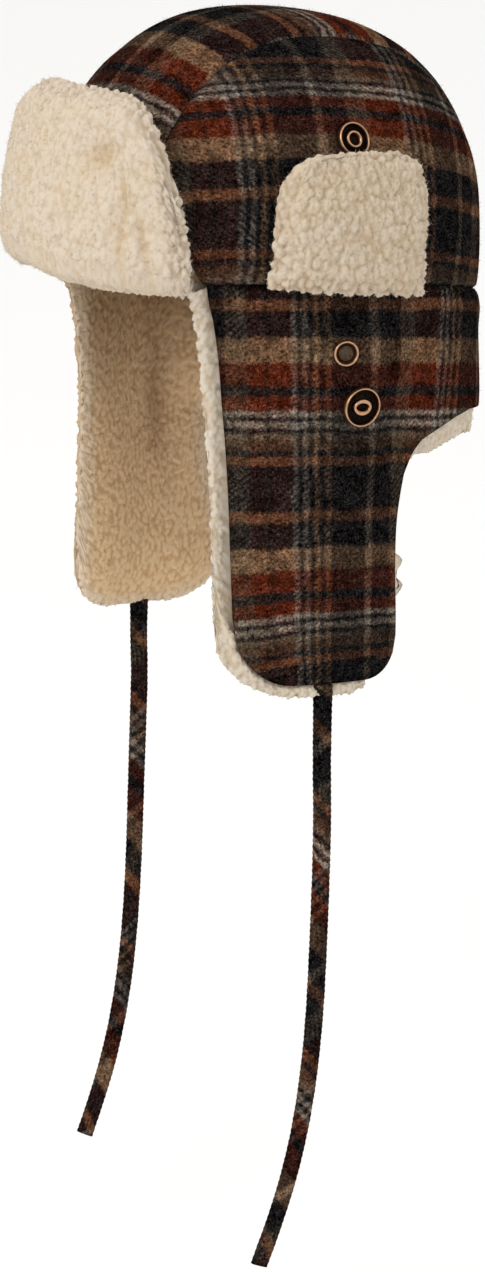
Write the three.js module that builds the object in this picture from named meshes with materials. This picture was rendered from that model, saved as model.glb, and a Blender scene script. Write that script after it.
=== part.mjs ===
// A bomber hat in plaid wool, lined with sherpa pile: crown of three panels, skirt with ear
// flaps and neck, turned-up front flap, turned-up ear tabs, copper snaps, vents and two ties.
// Millimetres, +Z up, +X the wearer's left, -Y the front. The origin is the middle of the head
// opening, at the level of the band seam. The hat is shown as worn, tipped a little back.
import * as THREE from "three";

// ---------------------------------------------------------------- driving sizes

const TIP_BACK = THREE.MathUtils.degToRad(8.3); // front of the hat raised, as it sits on a head
const GAP = 0.3; // between pieces that touch
const WOOL = 2.2; // wool cloth with its backing
const PILE = 11; // sherpa: knitted base and pile, uncompressed

const CROWN = { halfWidth: 93, halfLength: 111, height: 126, planPower: 2.2, sidePower: 2.39 };
const BAND_ARCH = 11.6; // how much higher the band seam runs over the ears than at front and back
const FRONT_RISE = { from: -45, to: -50, rise: 9 }; // the crown's edge behind the front flap

// Half-width of the crown's centre strip, by angle from the front (0) over the top to the back.
const STRIP = [
  { turn: 0, half: 41 },
  { turn: 60, half: 39 },
  { turn: 110, half: 41 },
  { turn: 140, half: 48 },
  { turn: 180, half: 55 },
];

// The skirt's level sections. Each row is one height, and its columns are the places that the
// cloth passes there: front edge, middle of the ear flap, rear edge of the flap, quarter, back.
const SKIRT = [
  { z: 12, edge: [68.7, -80], side: [92.8, -10], rear: [87.4, 43], quarter: [64.3, 85], back: 111 },
  { z: 4, edge: [66.5, -78], side: [93.4, -10], rear: [88, 42.5], quarter: [64.8, 86], back: 112 },
  { z: -12, edge: [61.2, -68.5], side: [95, -11], rear: [89, 41], quarter: [65.8, 88.5], back: 114.5 },
  { z: -30, edge: [59.8, -62], side: [95.5, -12], rear: [89.6, 38.5], quarter: [67.1, 91.6], back: 117.5 },
  { z: -50, edge: [60, -57.5], side: [95, -12], rear: [89, 36.5], quarter: [68.1, 94.4], back: 120 },
  { z: -72, edge: [61, -53], side: [93, -11.5], rear: [87.6, 35.4], quarter: [67.4, 95.2], back: 121.5 },
  { z: -100, edge: [63, -48.5], side: [89.8, -8], rear: [86, 35.5], quarter: [65.5, 94], back: 120 },
  { z: -125, edge: [64.4, -45], side: [86.4, -3.5], rear: [84, 40.5], quarter: [63, 92], back: 118 },
  { z: -150, edge: [67, -42], side: [83, 1], rear: [81, 47.5], quarter: [62, 92], back: 118 },
  { z: -190, edge: [69.5, -38], side: [78.8, 8], rear: [76.5, 57], quarter: [60, 92], back: 118 },
];
const FLAP_BOTTOM = -185.5; // lowest edge of the wool
// Height of the neck's lower edge, from the rear of the ear flap (2) to the back (4).
const NECK = [
  { along: 2, z: -80 },
  { along: 2.06, z: -70 },
  { along: 2.15, z: -63.8 },
  { along: 2.3, z: -59.5 },
  { along: 2.5, z: -54 },
  { along: 2.7, z: -51.2 },
  { along: 3.1, z: -52 },
  { along: 4, z: -53 },
];
// Rounded lower corners of the flap: how far each reaches along it, and how far up.
const FLAP_CORNER = { front: 0.52, rear: 0.45, frontRise: 34, rearRise: 22 };
// Pile showing past the wool; at the neck it tapers off where the edge runs down into the flap.
const LINING_OVER = { front: 9, bottom: 5.5, neck: 8.5, neckTaper: 0.3, rear: 3, clear: 17 };

// Front flap: its outline along the fold, and how far its inner face stands off the crown.
const FRONT = { height: 72, endTurn: 40.7, endLean: 10, cornerRise: 36, foldInside: 7 };
const FRONT_PILE = 12;
const FRONT_STAND = [
  { up: 0, off: 1 },
  { up: 20, off: 2.5 },
  { up: 45, off: 6 },
  { up: 72, off: 14 },
];

// Ear tab: outline round the head and up the crown, standing off it over the seam's roll.
const TAB = { middle: -20, halfWidth: 38.5, bottom: 5.5, height: 62.5, pile: 9, wool: 1.6, stand: 3.2 };
const TAB_CORNER = { front: 27, rear: 17 };

const CROWN_SNAP = { place: [-17.4, 74.2], radius: 8, height: 3.4 };
const FLAP_SNAP = { place: [-6.2, -44], radius: 9.3, height: 3.6 };
const VENT = { place: [-16, -20], radius: 6.1, bore: 3.7, height: 1.6 };

const TIE = { width: 9, thick: 3.6, sides: 10, steps: 44 };

// ---------------------------------------------------------------- colours

const finish = {
  wool: () => new THREE.MeshStandardMaterial({ color: 0x4a2a22, roughness: 0.95, metalness: 0 }),
  sherpa: () => new THREE.MeshStandardMaterial({ color: 0xe0d2bb, roughness: 1, metalness: 0 }),
  copper: () => new THREE.MeshStandardMaterial({ color: 0x9a6f48, roughness: 0.4, metalness: 1 }),
  mesh: () => new THREE.MeshStandardMaterial({ color: 0x5b4030, roughness: 0.8, metalness: 0 }),
};

// ---------------------------------------------------------------- curves and tables

const mix = (a, b, t) => a + (b - a) * t;
const smooth = (t) => {
  const c = Math.min(1, Math.max(0, t));
  return c * c * (3 - 2 * c);
};

// Reads a column of a table at a place between its rows.
function read(rows, key, column, at) {
  const order = rows[0][key] < rows[rows.length - 1][key] ? rows : [...rows].reverse();
  if (at <= order[0][key]) return order[0][column];
  for (let i = 1; i < order.length; i++) {
    if (at <= order[i][key]) {
      const t = (at - order[i - 1][key]) / (order[i][key] - order[i - 1][key]);
      const [a, b] = [order[i - 1][column], order[i][column]];
      return Array.isArray(a) ? a.map((v, k) => mix(v, b[k], t)) : mix(a, b, t);
    }
  }
  return order[order.length - 1][column];
}

// ---------------------------------------------------------------- crown surface

// 1 on the crown's outer surface, less inside it.
function crownValue(x, y, z) {
  const { halfWidth, halfLength, height, planPower, sidePower } = CROWN;
  const plan = Math.abs(x / halfWidth) ** planPower + Math.abs(y / halfLength) ** planPower;
  return plan ** (sidePower / planPower) + Math.abs(z / height) ** sidePower;
}

// The crown's surface where a line from its middle through p meets it.
function onCrown(p) {
  return p.clone().multiplyScalar(crownValue(p.x, p.y, p.z) ** (-1 / CROWN.sidePower));
}

// The crown's surface at a distance x from the middle plane, turned from front over the top.
function crownAcross(x, turn) {
  const a = THREE.MathUtils.degToRad(turn);
  let [low, high] = [0, 200];
  for (let i = 0; i < 40; i++) {
    const r = (low + high) / 2;
    if (crownValue(x, -r * Math.cos(a), r * Math.sin(a)) < 1) low = r;
    else high = r;
  }
  return new THREE.Vector3(x, -low * Math.cos(a), low * Math.sin(a));
}

// The crown's plan at a height, by angle from the left side (0) to the back (90).
function crownRound(angle, z) {
  const a = THREE.MathUtils.degToRad(angle);
  const p = 2 / CROWN.planPower;
  const r = (1 - Math.abs(z / CROWN.height) ** CROWN.sidePower) ** (1 / CROWN.sidePower);
  const power = (v) => Math.sign(v) * Math.abs(v) ** p;
  return new THREE.Vector3(
    r * CROWN.halfWidth * power(Math.cos(a)),
    r * CROWN.halfLength * power(Math.sin(a)),
    z,
  );
}

// Height of the crown's lower edge: arched over the ears, and raised behind the front flap.
function bandSeam(angle) {
  const { from, to, rise } = FRONT_RISE;
  const arch = BAND_ARCH * Math.cos(THREE.MathUtils.degToRad(angle)) ** 2;
  return arch + rise * smooth((angle - from) / (to - from));
}

// ---------------------------------------------------------------- skirt surface

const PLACES = ["edge", "side", "rear", "quarter"];
const EDGE_TURN = { in: 10, back: 12 }; // how the section turns in as it nears the front edge

// A place along the skirt brought to the left side.
const half = (along) => (along > 4 ? 8 - along : along);

// The skirt's outer surface. Along runs from 0 at the front edge, past 1 at the middle of the
// flap, 2 at its rear edge and 3 at the quarter, to 4 at the back; a value over 4 is the mirror.
function skirtAt(along, z) {
  const mirrored = along > 4;
  const a = half(along);
  const p = PLACES.map((place) => read(SKIRT, "z", place, z));
  const back = read(SKIRT, "z", "back", z);
  p.push([0, back], [-p[3][0], p[3][1]]); // past the back the section is its own mirror
  p.unshift([2 * p[0][0] - p[1][0] - EDGE_TURN.in, 2 * p[0][1] - p[1][1] + EDGE_TURN.back]);
  const i = Math.min(3, Math.max(0, Math.floor(a)));
  const t = a - i;
  const curve = (k) => {
    const [v0, v1, v2, v3] = [p[i][k], p[i + 1][k], p[i + 2][k], p[i + 3][k]];
    const line = (v2 - v0) * t + (2 * v0 - 5 * v1 + 4 * v2 - v3) * t * t;
    return v1 + 0.5 * (line + (3 * v1 - v0 - 3 * v2 + v3) * t * t * t);
  };
  return new THREE.Vector3(mirrored ? -curve(0) : curve(0), curve(1), z);
}

// Height of the band seam at a place along the skirt.
function skirtTop(along) {
  const p = skirtAt(half(along), 0);
  const c = Math.min(1, Math.abs(p.x) / CROWN.halfWidth) ** CROWN.planPower;
  return BAND_ARCH * c;
}

// ---------------------------------------------------------------- padded cloth pieces

// A net over blocks of points (rows of [u, v]), with shared points merged.
function netOf(blocks) {
  const points = [];
  const seen = new Map();
  const at = (uv) => {
    const key = uv.map((n) => n.toFixed(5)).join();
    if (!seen.has(key)) seen.set(key, points.push(uv) - 1);
    return seen.get(key);
  };
  const triangles = [];
  const add = (a, b, c) => {
    if (a !== b && b !== c && c !== a) triangles.push([a, b, c]);
  };
  for (const rows of blocks) {
    for (let i = 1; i < rows.length; i++) {
      for (let j = 1; j < rows[i].length; j++) {
        const [a, b] = [at(rows[i - 1][j - 1]), at(rows[i - 1][j])];
        const [c, d] = [at(rows[i][j - 1]), at(rows[i][j])];
        add(a, b, d);
        add(a, d, c);
      }
    }
  }
  return { points, triangles };
}

// Rows of [u, v] over a rectangle of the guide surface, even in both ways.
function rowsOf(columns, rows, uAt, vAt) {
  return Array.from({ length: rows + 1 }, (_, i) =>
    Array.from({ length: columns + 1 }, (_, j) => {
      const u = uAt(j / columns);
      return [u, vAt(i / rows, u)];
    }),
  );
}

function guideNormal(guide, u, v, step) {
  const du = guide(u + step, v).sub(guide(u - step, v));
  const dv = guide(u, v + step).sub(guide(u, v - step));
  return du.cross(dv).normalize();
}

// A closed pad: the net laid on the guide surface, from one offset to another along its normal.
function pad(name, net, guide, from, to, material, step = 0.01) {
  const positions = [];
  const normals = net.points.map(([u, v]) => guideNormal(guide, u, v, step));
  for (const offset of [from, to]) {
    net.points.forEach(([u, v], i) => {
      const depth = typeof offset === "function" ? offset(u, v) : offset;
      positions.push(...guide(u, v).addScaledVector(normals[i], depth).toArray());
    });
  }
  const count = net.points.length;
  const index = [];
  const edges = new Map();
  for (const [a, b, c] of net.triangles) {
    index.push(a, c, b, a + count, b + count, c + count);
    for (const [p, q] of [[a, b], [b, c], [c, a]]) {
      const back = q + "," + p;
      if (edges.has(back)) edges.delete(back);
      else edges.set(p + "," + q, [p, q]);
    }
  }
  for (const [p, q] of edges.values()) {
    index.push(p, q, q + count, p, q + count, p + count);
  }
  return closedMesh(name, positions, index, material);
}

// A mesh whose faces point outwards.
function closedMesh(name, positions, index, material) {
  const vertex = (i) => new THREE.Vector3().fromArray(positions, 3 * i);
  let volume = 0;
  for (let i = 0; i < index.length; i += 3) {
    const [a, b, c] = [vertex(index[i]), vertex(index[i + 1]), vertex(index[i + 2])];
    volume += a.dot(b.cross(c)) / 6;
  }
  const faces = volume < 0 ? [...index].reverse() : index;
  const geometry = new THREE.BufferGeometry();
  geometry.setAttribute("position", new THREE.Float32BufferAttribute(positions, 3));
  geometry.setIndex(faces);
  geometry.computeVertexNormals();
  const mesh = new THREE.Mesh(geometry, material);
  mesh.name = name;
  return mesh;
}

// ---------------------------------------------------------------- crown panels

function crownCenterPanel() {
  const reach = (turn) => read(STRIP, "turn", "half", turn) - GAP / 2;
  const guide = (u, turn) => crownAcross(u * reach(turn), turn);
  const bottom = (u, end) => {
    // the strip ends on the band seam, front and back
    let turn = end;
    for (let i = 0; i < 12; i++) {
      const p = guide(u, turn);
      const c = Math.abs(p.x / CROWN.halfWidth) ** CROWN.planPower;
      const low = BAND_ARCH * c + (end === 0 ? FRONT_RISE.rise : 0) + GAP / 2;
      const lift = THREE.MathUtils.radToDeg(Math.atan2(low, Math.abs(p.y)));
      turn = end === 0 ? lift : 180 - lift;
    }
    return turn;
  };
  const rows = rowsOf(8, 24, (j) => mix(-1, 1, j), (i, u) => mix(bottom(u, 0), bottom(u, 180), i));
  return pad("crown_center_panel", netOf([rows]), guide, -WOOL, 0, finish.wool(), 0.02);
}

// Turns at which the side panel's long seam meets the band seam, front and back.
const SIDE_SEAM = { front: 6.5, back: 178.2 };

function crownSidePanel(name, side) {
  const seam = (t) => {
    const turn = mix(SIDE_SEAM.front, SIDE_SEAM.back, t);
    return crownAcross(read(STRIP, "turn", "half", turn) + GAP / 2, turn);
  };
  const bandAngle = (p) => {
    const power = CROWN.planPower / 2;
    const c = Math.abs(p.x / CROWN.halfWidth) ** power;
    const s = Math.sign(p.y) * Math.abs(p.y / CROWN.halfLength) ** power;
    return THREE.MathUtils.radToDeg(Math.atan2(s, c));
  };
  const [front, back] = [bandAngle(seam(0)), bandAngle(seam(1))];
  const guide = (t, v) => {
    const angle = mix(front, back, t);
    const low = crownRound(angle, bandSeam(angle) + GAP / 2);
    const high = seam(t);
    const p = onCrown(high.lerp(low, v));
    p.x *= side;
    return p;
  };
  // the two ends run to a point, so the net stops just short of them
  const rows = rowsOf(22, 8, (j) => mix(0.012, 0.988, j), (i) => mix(0, 1, i));
  return pad(name, netOf([rows]), guide, 0, side * WOOL, finish.wool(), 0.004);
}

// ---------------------------------------------------------------- skirt and lining

// Lowest height of the flap at a place along it, with its two rounded corners.
function flapBottom(along, over) {
  const { front, rear, frontRise, rearRise } = FLAP_CORNER;
  const corner = (t) => 1 - Math.sqrt(Math.max(0, 1 - (1 - Math.min(1, t)) ** 2));
  const lift = along < 1 ? frontRise * corner(along / front) : rearRise * corner((2 - along) / rear);
  return FLAP_BOTTOM - over + lift;
}

// Height of the neck edge behind the flap.
function neckEdge(along, over) {
  const taper = mix(LINING_OVER.neckTaper, 1, smooth((along - 2) / 0.4));
  return read(NECK, "along", "z", along) - over * taper;
}

// The skirt's net: one band round the head and a flap below it on each side.
function skirtNet(over, top) {
  const flapPlaces = [0, 0.1, 0.25, 0.5, 0.75, 1, 1.3, 1.55, 1.72, 1.88, 2];
  const neckPlaces = [2.06, 2.15, 2.3, 2.5, 2.7, 3.1, 3.4, 3.7, 4];
  const oneSide = [...flapPlaces, ...neckPlaces];
  const whole = [...oneSide, ...oneSide.slice(0, -1).reverse().map((a) => 8 - a)];
  const waist = (a) => (half(a) <= 2 ? neckEdge(2, over.neck) : neckEdge(half(a), over.neck));
  const levels = 5;
  const band = Array.from({ length: levels + 1 }, (_, i) =>
    whole.map((a) => [a, mix(top(a), waist(a), i / levels)]),
  );
  const drops = [0, 0.2, 0.42, 0.62, 0.78, 0.9, 1];
  const flap = (places) =>
    drops.map((t) =>
      places.map((a) => [a, mix(waist(a), flapBottom(half(a), over.bottom), t)]),
    );
  const left = whole.filter((a) => a <= 2);
  const right = whole.filter((a) => a >= 6);
  return netOf([band, flap(left), flap(right)]);
}

function skirt() {
  const net = skirtNet({ bottom: 0, neck: 0 }, (a) => skirtTop(a) - GAP);
  return pad("skirt", net, skirtAt, -WOOL, 0, finish.wool());
}

// The lining follows the skirt's inner face and stands out past its free edges.
function skirtLining() {
  const over = LINING_OVER;
  const spread = (a) => {
    const wide = -over.front * (1 - smooth(a / 0.6)) + over.rear * smooth((a - 1.4) / 0.6);
    return wide * (1 - smooth((a - 2) / 0.5));
  };
  const guide = (along, z) => {
    const a = half(along);
    const onward = skirtAt(a + 0.01, z).sub(skirtAt(a - 0.01, z)).normalize();
    const p = skirtAt(a, z).addScaledVector(onward, spread(a));
    if (along > 4) p.x *= -1;
    return p;
  };
  // it starts under the end of the front flap, and its rolled front edge stands off the wool
  const top = (a) => skirtTop(a) - GAP - over.clear * (1 - smooth((half(a) - 0.25) / 0.4));
  const stand = (a) => WOOL + GAP + 0.5 + 1.2 * (1 - smooth(half(a) / 0.8));
  const outer = (a) => -stand(a);
  const inner = (a) => -stand(a) - PILE;
  return pad("skirt_lining", skirtNet(over, top), guide, inner, outer, finish.sherpa());
}

// ---------------------------------------------------------------- front flap

// Distance up the flap's outside at its end, with a rounded upper corner.
function frontHeight(u) {
  const near = (1 - Math.abs(u)) / 0.42;
  const lift = 1 - Math.sqrt(Math.max(0, 1 - (1 - Math.min(1, near)) ** 2));
  return FRONT.height - FRONT.cornerRise * lift;
}

// The crown's front, at a height over its lower edge, with a stand-off from it.
function frontWall(u, up, off) {
  const angle = -90 + u * (FRONT.endTurn - FRONT.endLean * smooth(up / FRONT.height));
  const p = crownRound(angle, FRONT_RISE.rise + Math.max(0, up));
  const stand = p.clone().setZ(0).normalize();
  p.addScaledVector(stand, off);
  p.z = FRONT_RISE.rise + up;
  return p;
}

// The pile passes the backing outside the crown, and the crown's own cloth inside it.
const OUTSIDE = WOOL + 5 * GAP;
const FOLD_OUT = OUTSIDE + FRONT_STAND[0].off;
const FOLD_RADIUS = (FOLD_OUT + WOOL + 7 * GAP) / 2;
const FOLD = Math.PI * FOLD_RADIUS;

// Guide for the flap's pile: v runs from inside the hat (negative) round the fold and up.
function frontGuide(u, v) {
  if (v > FOLD) {
    const up = v - FOLD;
    return frontWall(u, up, OUTSIDE + read(FRONT_STAND, "up", "off", up));
  }
  const middle = FOLD_OUT - FOLD_RADIUS;
  if (v < 0) return frontWall(u, -v, middle - FOLD_RADIUS);
  const a = v / FOLD_RADIUS;
  return frontWall(u, -FOLD_RADIUS * Math.sin(a), middle - FOLD_RADIUS * Math.cos(a));
}

function frontFlap() {
  const steps = [-FRONT.foldInside, -2, 0, FOLD * 0.25, FOLD * 0.5, FOLD * 0.75, FOLD];
  const rises = [0.1, 0.25, 0.42, 0.6, 0.78, 0.9, 1];
  const columns = [-1, -0.93, -0.82, -0.68, -0.5, -0.3, -0.1, 0.1, 0.3, 0.5, 0.68, 0.82, 0.93, 1];
  const rows = [
    ...steps.map((v) => columns.map((u) => [u, v])),
    ...rises.map((t) => columns.map((u) => [u, FOLD + t * frontHeight(u)])),
  ];
  const pile = (u, v) => {
    const up = (v - FOLD) / frontHeight(u);
    const thin = 1 - 0.35 * smooth((up - 0.8) / 0.2) - 0.25 * smooth((Math.abs(u) - 0.85) / 0.15);
    return FRONT_PILE * Math.min(thin, mix(0.7, 1, smooth((v + FRONT.foldInside) / 12)));
  };
  return pad("front_flap", netOf([rows]), frontGuide, 0, pile, finish.sherpa());
}

function frontFlapBacking() {
  const columns = [-0.97, -0.82, -0.66, -0.5, -0.3, -0.1, 0.1, 0.3, 0.5, 0.66, 0.82, 0.97];
  const rises = [0.03, 0.15, 0.32, 0.5, 0.68, 0.84, 0.97];
  const rows = rises.map((t) => columns.map((u) => [u, t * frontHeight(u)]));
  const guide = (u, up) => frontWall(u, up, 2 * GAP + read(FRONT_STAND, "up", "off", up));
  return pad("front_flap_backing", netOf([rows]), guide, 0, WOOL, finish.wool());
}

// ---------------------------------------------------------------- ear tabs

// The crown's side by distance round the head and height, for what lies on it.
function besideCrown(y, z) {
  const { halfWidth, halfLength, height, planPower, sidePower } = CROWN;
  const ring = (1 - Math.abs(Math.max(0, z) / height) ** sidePower) ** (planPower / sidePower);
  const across = ring - Math.abs(y / halfLength) ** planPower;
  return new THREE.Vector3(halfWidth * Math.max(0, across) ** (1 / planPower), y, z);
}

// Outline of the tab: full width below and two rounded corners above.
function tabNet(inset) {
  const { middle, halfWidth, bottom, height } = TAB;
  const edge = (t, radius) => {
    const cut = Math.max(0, t * height - (height - radius)) / radius;
    return halfWidth - inset - 2.5 * t - 0.95 * radius * (1 - Math.sqrt(Math.max(0, 1 - cut * cut)));
  };
  const levels = [0, 0.2, 0.42, 0.62, 0.76, 0.87, 0.95, 1];
  const across = [0, 0.14, 0.29, 0.43, 0.57, 0.71, 0.86, 1];
  const rows = levels.map((t) =>
    across.map((u) => [
      middle + mix(-edge(t, TAB_CORNER.front), edge(t, TAB_CORNER.rear), u),
      bottom + inset + t * (height - 2 * inset),
    ]),
  );
  return netOf([rows]);
}

function earTab(side, sideName) {
  const guide = (y, z) => {
    const p = besideCrown(y, z);
    p.x *= side;
    return p;
  };
  const lift = GAP + TAB.stand;
  const net = tabNet(0);
  const { middle, halfWidth, bottom, height, pile } = TAB;
  const thick = (y, z) => {
    const round = Math.min(1, (halfWidth - Math.abs(y - middle)) / 12);
    const low = Math.min(1, (z - bottom) / 9);
    const high = Math.min(1, (bottom + height - z) / 9);
    const full = Math.min(smooth(0.45 + round * 0.55), smooth(0.5 + low * 0.5));
    return side * (lift + TAB.wool + GAP + pile * Math.min(full, smooth(0.5 + high * 0.5)));
  };
  const inner = side * (lift + TAB.wool + GAP);
  return [
    pad(`ear_tab_${sideName}`, net, guide, inner, thick, finish.sherpa(), 0.05),
    pad(
      `ear_tab_backing_${sideName}`,
      tabNet(2.6),
      guide,
      side * lift,
      side * (lift + TAB.wool),
      finish.wool(),
      0.05,
    ),
  ];
}

// ---------------------------------------------------------------- metal

// A turned piece whose profile is a list of [radius, height], standing on a surface.
function turned(name, profile, surface, place, side, stand, material, segments = 20) {
  const points = profile.map(([r, h]) => new THREE.Vector2(r, h));
  const geometry = new THREE.LatheGeometry(points, segments);
  const mesh = new THREE.Mesh(geometry, material);
  mesh.name = name;
  const [y, z] = place;
  const at = surface(y, z);
  const step = 0.5;
  const dy = surface(y + step, z).sub(surface(y - step, z));
  const dz = surface(y, z + step).sub(surface(y, z - step));
  const out = dy.cross(dz).normalize();
  if (out.x < 0) out.negate();
  at.addScaledVector(out, stand);
  at.x *= side;
  out.x *= side;
  mesh.position.copy(at);
  mesh.quaternion.setFromUnitVectors(new THREE.Vector3(0, 1, 0), out);
  return mesh;
}

// The skirt's side by distance round the head and height.
function besideSkirt(y, z) {
  let [low, high] = [0, 2];
  for (let i = 0; i < 30; i++) {
    const a = (low + high) / 2;
    if (skirtAt(a, z).y < y) low = a;
    else high = a;
  }
  return skirtAt(low, z);
}

// A snap cap: rolled rim, sunk dish, and a raised ring round the socket.
function snapProfile({ radius, height }) {
  return [
    [0, 0],
    [radius - 0.9, 0],
    [radius, 0.9],
    [radius, height * 0.75],
    [radius - 0.7, height],
    [radius - 1.6, height * 0.8],
    [radius - 2.1, height * 0.4],
    [radius * 0.56, height * 0.36],
    [radius * 0.52, height * 0.86],
    [radius * 0.42, height],
    [radius * 0.3, height * 0.8],
    [radius * 0.22, height * 0.35],
    [0, height * 0.3],
  ];
}

function metal(side, sideName) {
  const { radius, bore, height } = VENT;
  const eyelet = [
    [bore, 0],
    [radius - 0.3, 0],
    [radius, height * 0.4],
    [radius - 0.8, height],
    [bore + 0.7, height],
    [bore, height * 0.6],
    [bore, 0],
  ];
  const gauze = [
    [0, 0],
    [bore - GAP, 0],
    [bore - GAP, 0.6],
    [0, 0.6],
  ];
  const stand = GAP + 0.15;
  return [
    turned(`crown_snap_${sideName}`, snapProfile(CROWN_SNAP), besideCrown, CROWN_SNAP.place, side,
      stand, finish.copper()),
    turned(`flap_snap_${sideName}`, snapProfile(FLAP_SNAP), besideSkirt, FLAP_SNAP.place, side,
      stand, finish.copper()),
    turned(`vent_eyelet_${sideName}`, eyelet, besideSkirt, VENT.place, side, stand,
      finish.copper()),
    turned(`vent_mesh_${sideName}`, gauze, besideSkirt, VENT.place, side, stand, finish.mesh(), 16),
  ];
}

// ---------------------------------------------------------------- ties

// Routes of the ties, hanging plumb from the flaps and drifting forwards at their ends.
const TIE_ROUTES = {
  left: [
    [79.2, -18.4, -189.8],
    [79.0, -18.1, -204],
    [78.2, -17.4, -228],
    [78.6, -17.2, -254],
    [78.7, -17.5, -280],
    [78.6, -18.1, -306],
    [78.4, -18.9, -332],
    [78.2, -20.0, -358],
    [77.9, -21.9, -384],
    [77.5, -24.9, -409],
    [77.0, -29.2, -433],
    [76.5, -35.4, -456.5],
    [76.0, -43.6, -479.5],
    [75.6, -53.0, -501.5],
  ],
  right: [
    [-79.5, -18.2, -189.8],
    [-79.3, -18.6, -204],
    [-78.4, -19.2, -228],
    [-78.7, -20.2, -254],
    [-78.8, -21.5, -280],
    [-78.7, -22.9, -306],
    [-78.4, -24.5, -332],
    [-78.0, -26.7, -358],
    [-77.5, -29.8, -384],
    [-77.0, -34.0, -409],
    [-76.5, -39.6, -433],
    [-76.0, -46.8, -456],
    [-75.6, -55.8, -478.5],
    [-75.3, -62.5, -493.5],
  ],
};

function tie(sideName) {
  const path = new THREE.CatmullRomCurve3(
    TIE_ROUTES[sideName].map((p) => new THREE.Vector3(...p)),
    false,
    "centripetal",
  );
  const section = new THREE.Shape();
  for (let i = 0; i < TIE.sides; i++) {
    const a = (2 * Math.PI * (i + 0.5)) / TIE.sides;
    const [x, y] = [(TIE.thick / 2) * Math.cos(a), (TIE.width / 2) * Math.sin(a)];
    if (i === 0) section.moveTo(x, y);
    else section.lineTo(x, y);
  }
  section.closePath();
  const geometry = new THREE.ExtrudeGeometry(section, {
    steps: TIE.steps,
    bevelEnabled: false,
    extrudePath: path,
  });
  const mesh = new THREE.Mesh(geometry, finish.wool());
  mesh.name = `tie_${sideName}`;
  return mesh;
}

// ---------------------------------------------------------------- the hat

const hat = new THREE.Group();
hat.rotation.x = -TIP_BACK;
hat.add(crownCenterPanel());
hat.add(crownSidePanel("crown_side_panel_left", 1), crownSidePanel("crown_side_panel_right", -1));
hat.add(skirt(), skirtLining());
hat.add(frontFlap(), frontFlapBacking());
for (const [side, sideName] of [[1, "left"], [-1, "right"]]) {
  hat.add(...earTab(side, sideName), ...metal(side, sideName));
}

const part = new THREE.Group();
part.add(hat, tie("left"), tie("right"));
export default part;
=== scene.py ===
import math

import bmesh
import bpy
import numpy as np
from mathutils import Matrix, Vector, noise


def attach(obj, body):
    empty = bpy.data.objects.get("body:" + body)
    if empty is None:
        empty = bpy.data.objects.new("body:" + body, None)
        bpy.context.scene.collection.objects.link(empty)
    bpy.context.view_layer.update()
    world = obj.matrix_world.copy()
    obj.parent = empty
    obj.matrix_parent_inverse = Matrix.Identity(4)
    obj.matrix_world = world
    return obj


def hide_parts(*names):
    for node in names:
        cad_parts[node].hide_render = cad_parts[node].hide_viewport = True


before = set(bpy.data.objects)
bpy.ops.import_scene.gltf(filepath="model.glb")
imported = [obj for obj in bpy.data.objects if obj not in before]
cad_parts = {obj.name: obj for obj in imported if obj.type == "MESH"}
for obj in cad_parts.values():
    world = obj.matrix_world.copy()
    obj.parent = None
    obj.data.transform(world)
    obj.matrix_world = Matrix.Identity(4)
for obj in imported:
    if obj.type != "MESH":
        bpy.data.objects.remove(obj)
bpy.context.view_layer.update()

# A bomber hat in plaid wool, lined with sherpa: three crown panels, a skirt with ear flaps and
# neck, a turned-up front flap, two turned-up ear tabs, copper snaps, vents and two ties.
# Shapes are worked out in millimetres in the hat's own level, with -Y the way the wearer faces
# and +X the wearer's left, then tipped back as worn and turned to metres.

MM = 0.001
TIP_BACK = math.radians(8.3)  # how far back on the head the hat sits
GAP = 0.3  # left between two layers that lie on each other
SEAM = 0.04  # left between two panels at a sewn seam
WOOL = 2.2  # thickness of the wool
PILE = 11.0  # depth of the lining's pile
SIDES = {"left": 1, "right": -1}  # which way each side lies along X

# ---------------------------------------------------------------- camera

LENS_MM, FILM_MM = 75.1, 36.0
CAMERA_AT, CAMERA_AIM = (1.0190, -0.7533, 0.2861), (-0.0040, -0.0054, -0.1879)


def in_scene(name, data):
    """A new object for a mesh, a lamp or a camera, put in the scene."""
    made = bpy.data.objects.new(name, data)
    bpy.context.scene.collection.objects.link(made)
    return made


def turned_to(place, target):
    """The turn that faces a lamp or a camera at a target."""
    return (Vector(target) - Vector(place)).to_track_quat("-Z", "Y").to_euler()


def place_camera():
    data = bpy.data.cameras.new("camera")
    data.lens = LENS_MM
    data.sensor_width = FILM_MM
    camera = in_scene("camera", data)
    camera.location = CAMERA_AT
    camera.rotation_euler = turned_to(CAMERA_AT, CAMERA_AIM)
    bpy.context.scene.camera = camera


place_camera()

# ---------------------------------------------------------------- colours and nodes


def tint(code):
    """An sRGB hex colour as linear RGBA."""
    parts = [int(code[i : i + 2], 16) / 255 for i in (1, 3, 5)]
    return [c / 12.92 if c <= 0.04045 else ((c + 0.055) / 1.055) ** 2.4 for c in parts] + [1.0]


def fill(tree, made, sockets):
    """Gives each named socket of a node its link or its plain value."""
    for key, term in sockets.items():
        if isinstance(term, bpy.types.NodeSocket):
            tree.links.new(term, made.inputs[key])
        else:
            made.inputs[key].default_value = term


def node(tree, kind, sockets=None, stops=(), **settings):
    """Adds one node with its settings, its (place, hex) colour stops and its sockets; gives its outputs."""
    made = tree.nodes.new(kind)
    for key, value in settings.items():
        setattr(made, key, value)
    fill(tree, made, sockets or {})
    if stops:
        ramp = made.color_ramp
        while len(ramp.elements) < len(stops):
            ramp.elements.new(1.0)
        for element, (place, code) in zip(ramp.elements, stops):
            element.position = place
            element.color = tint(code)
    return made.outputs


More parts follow.
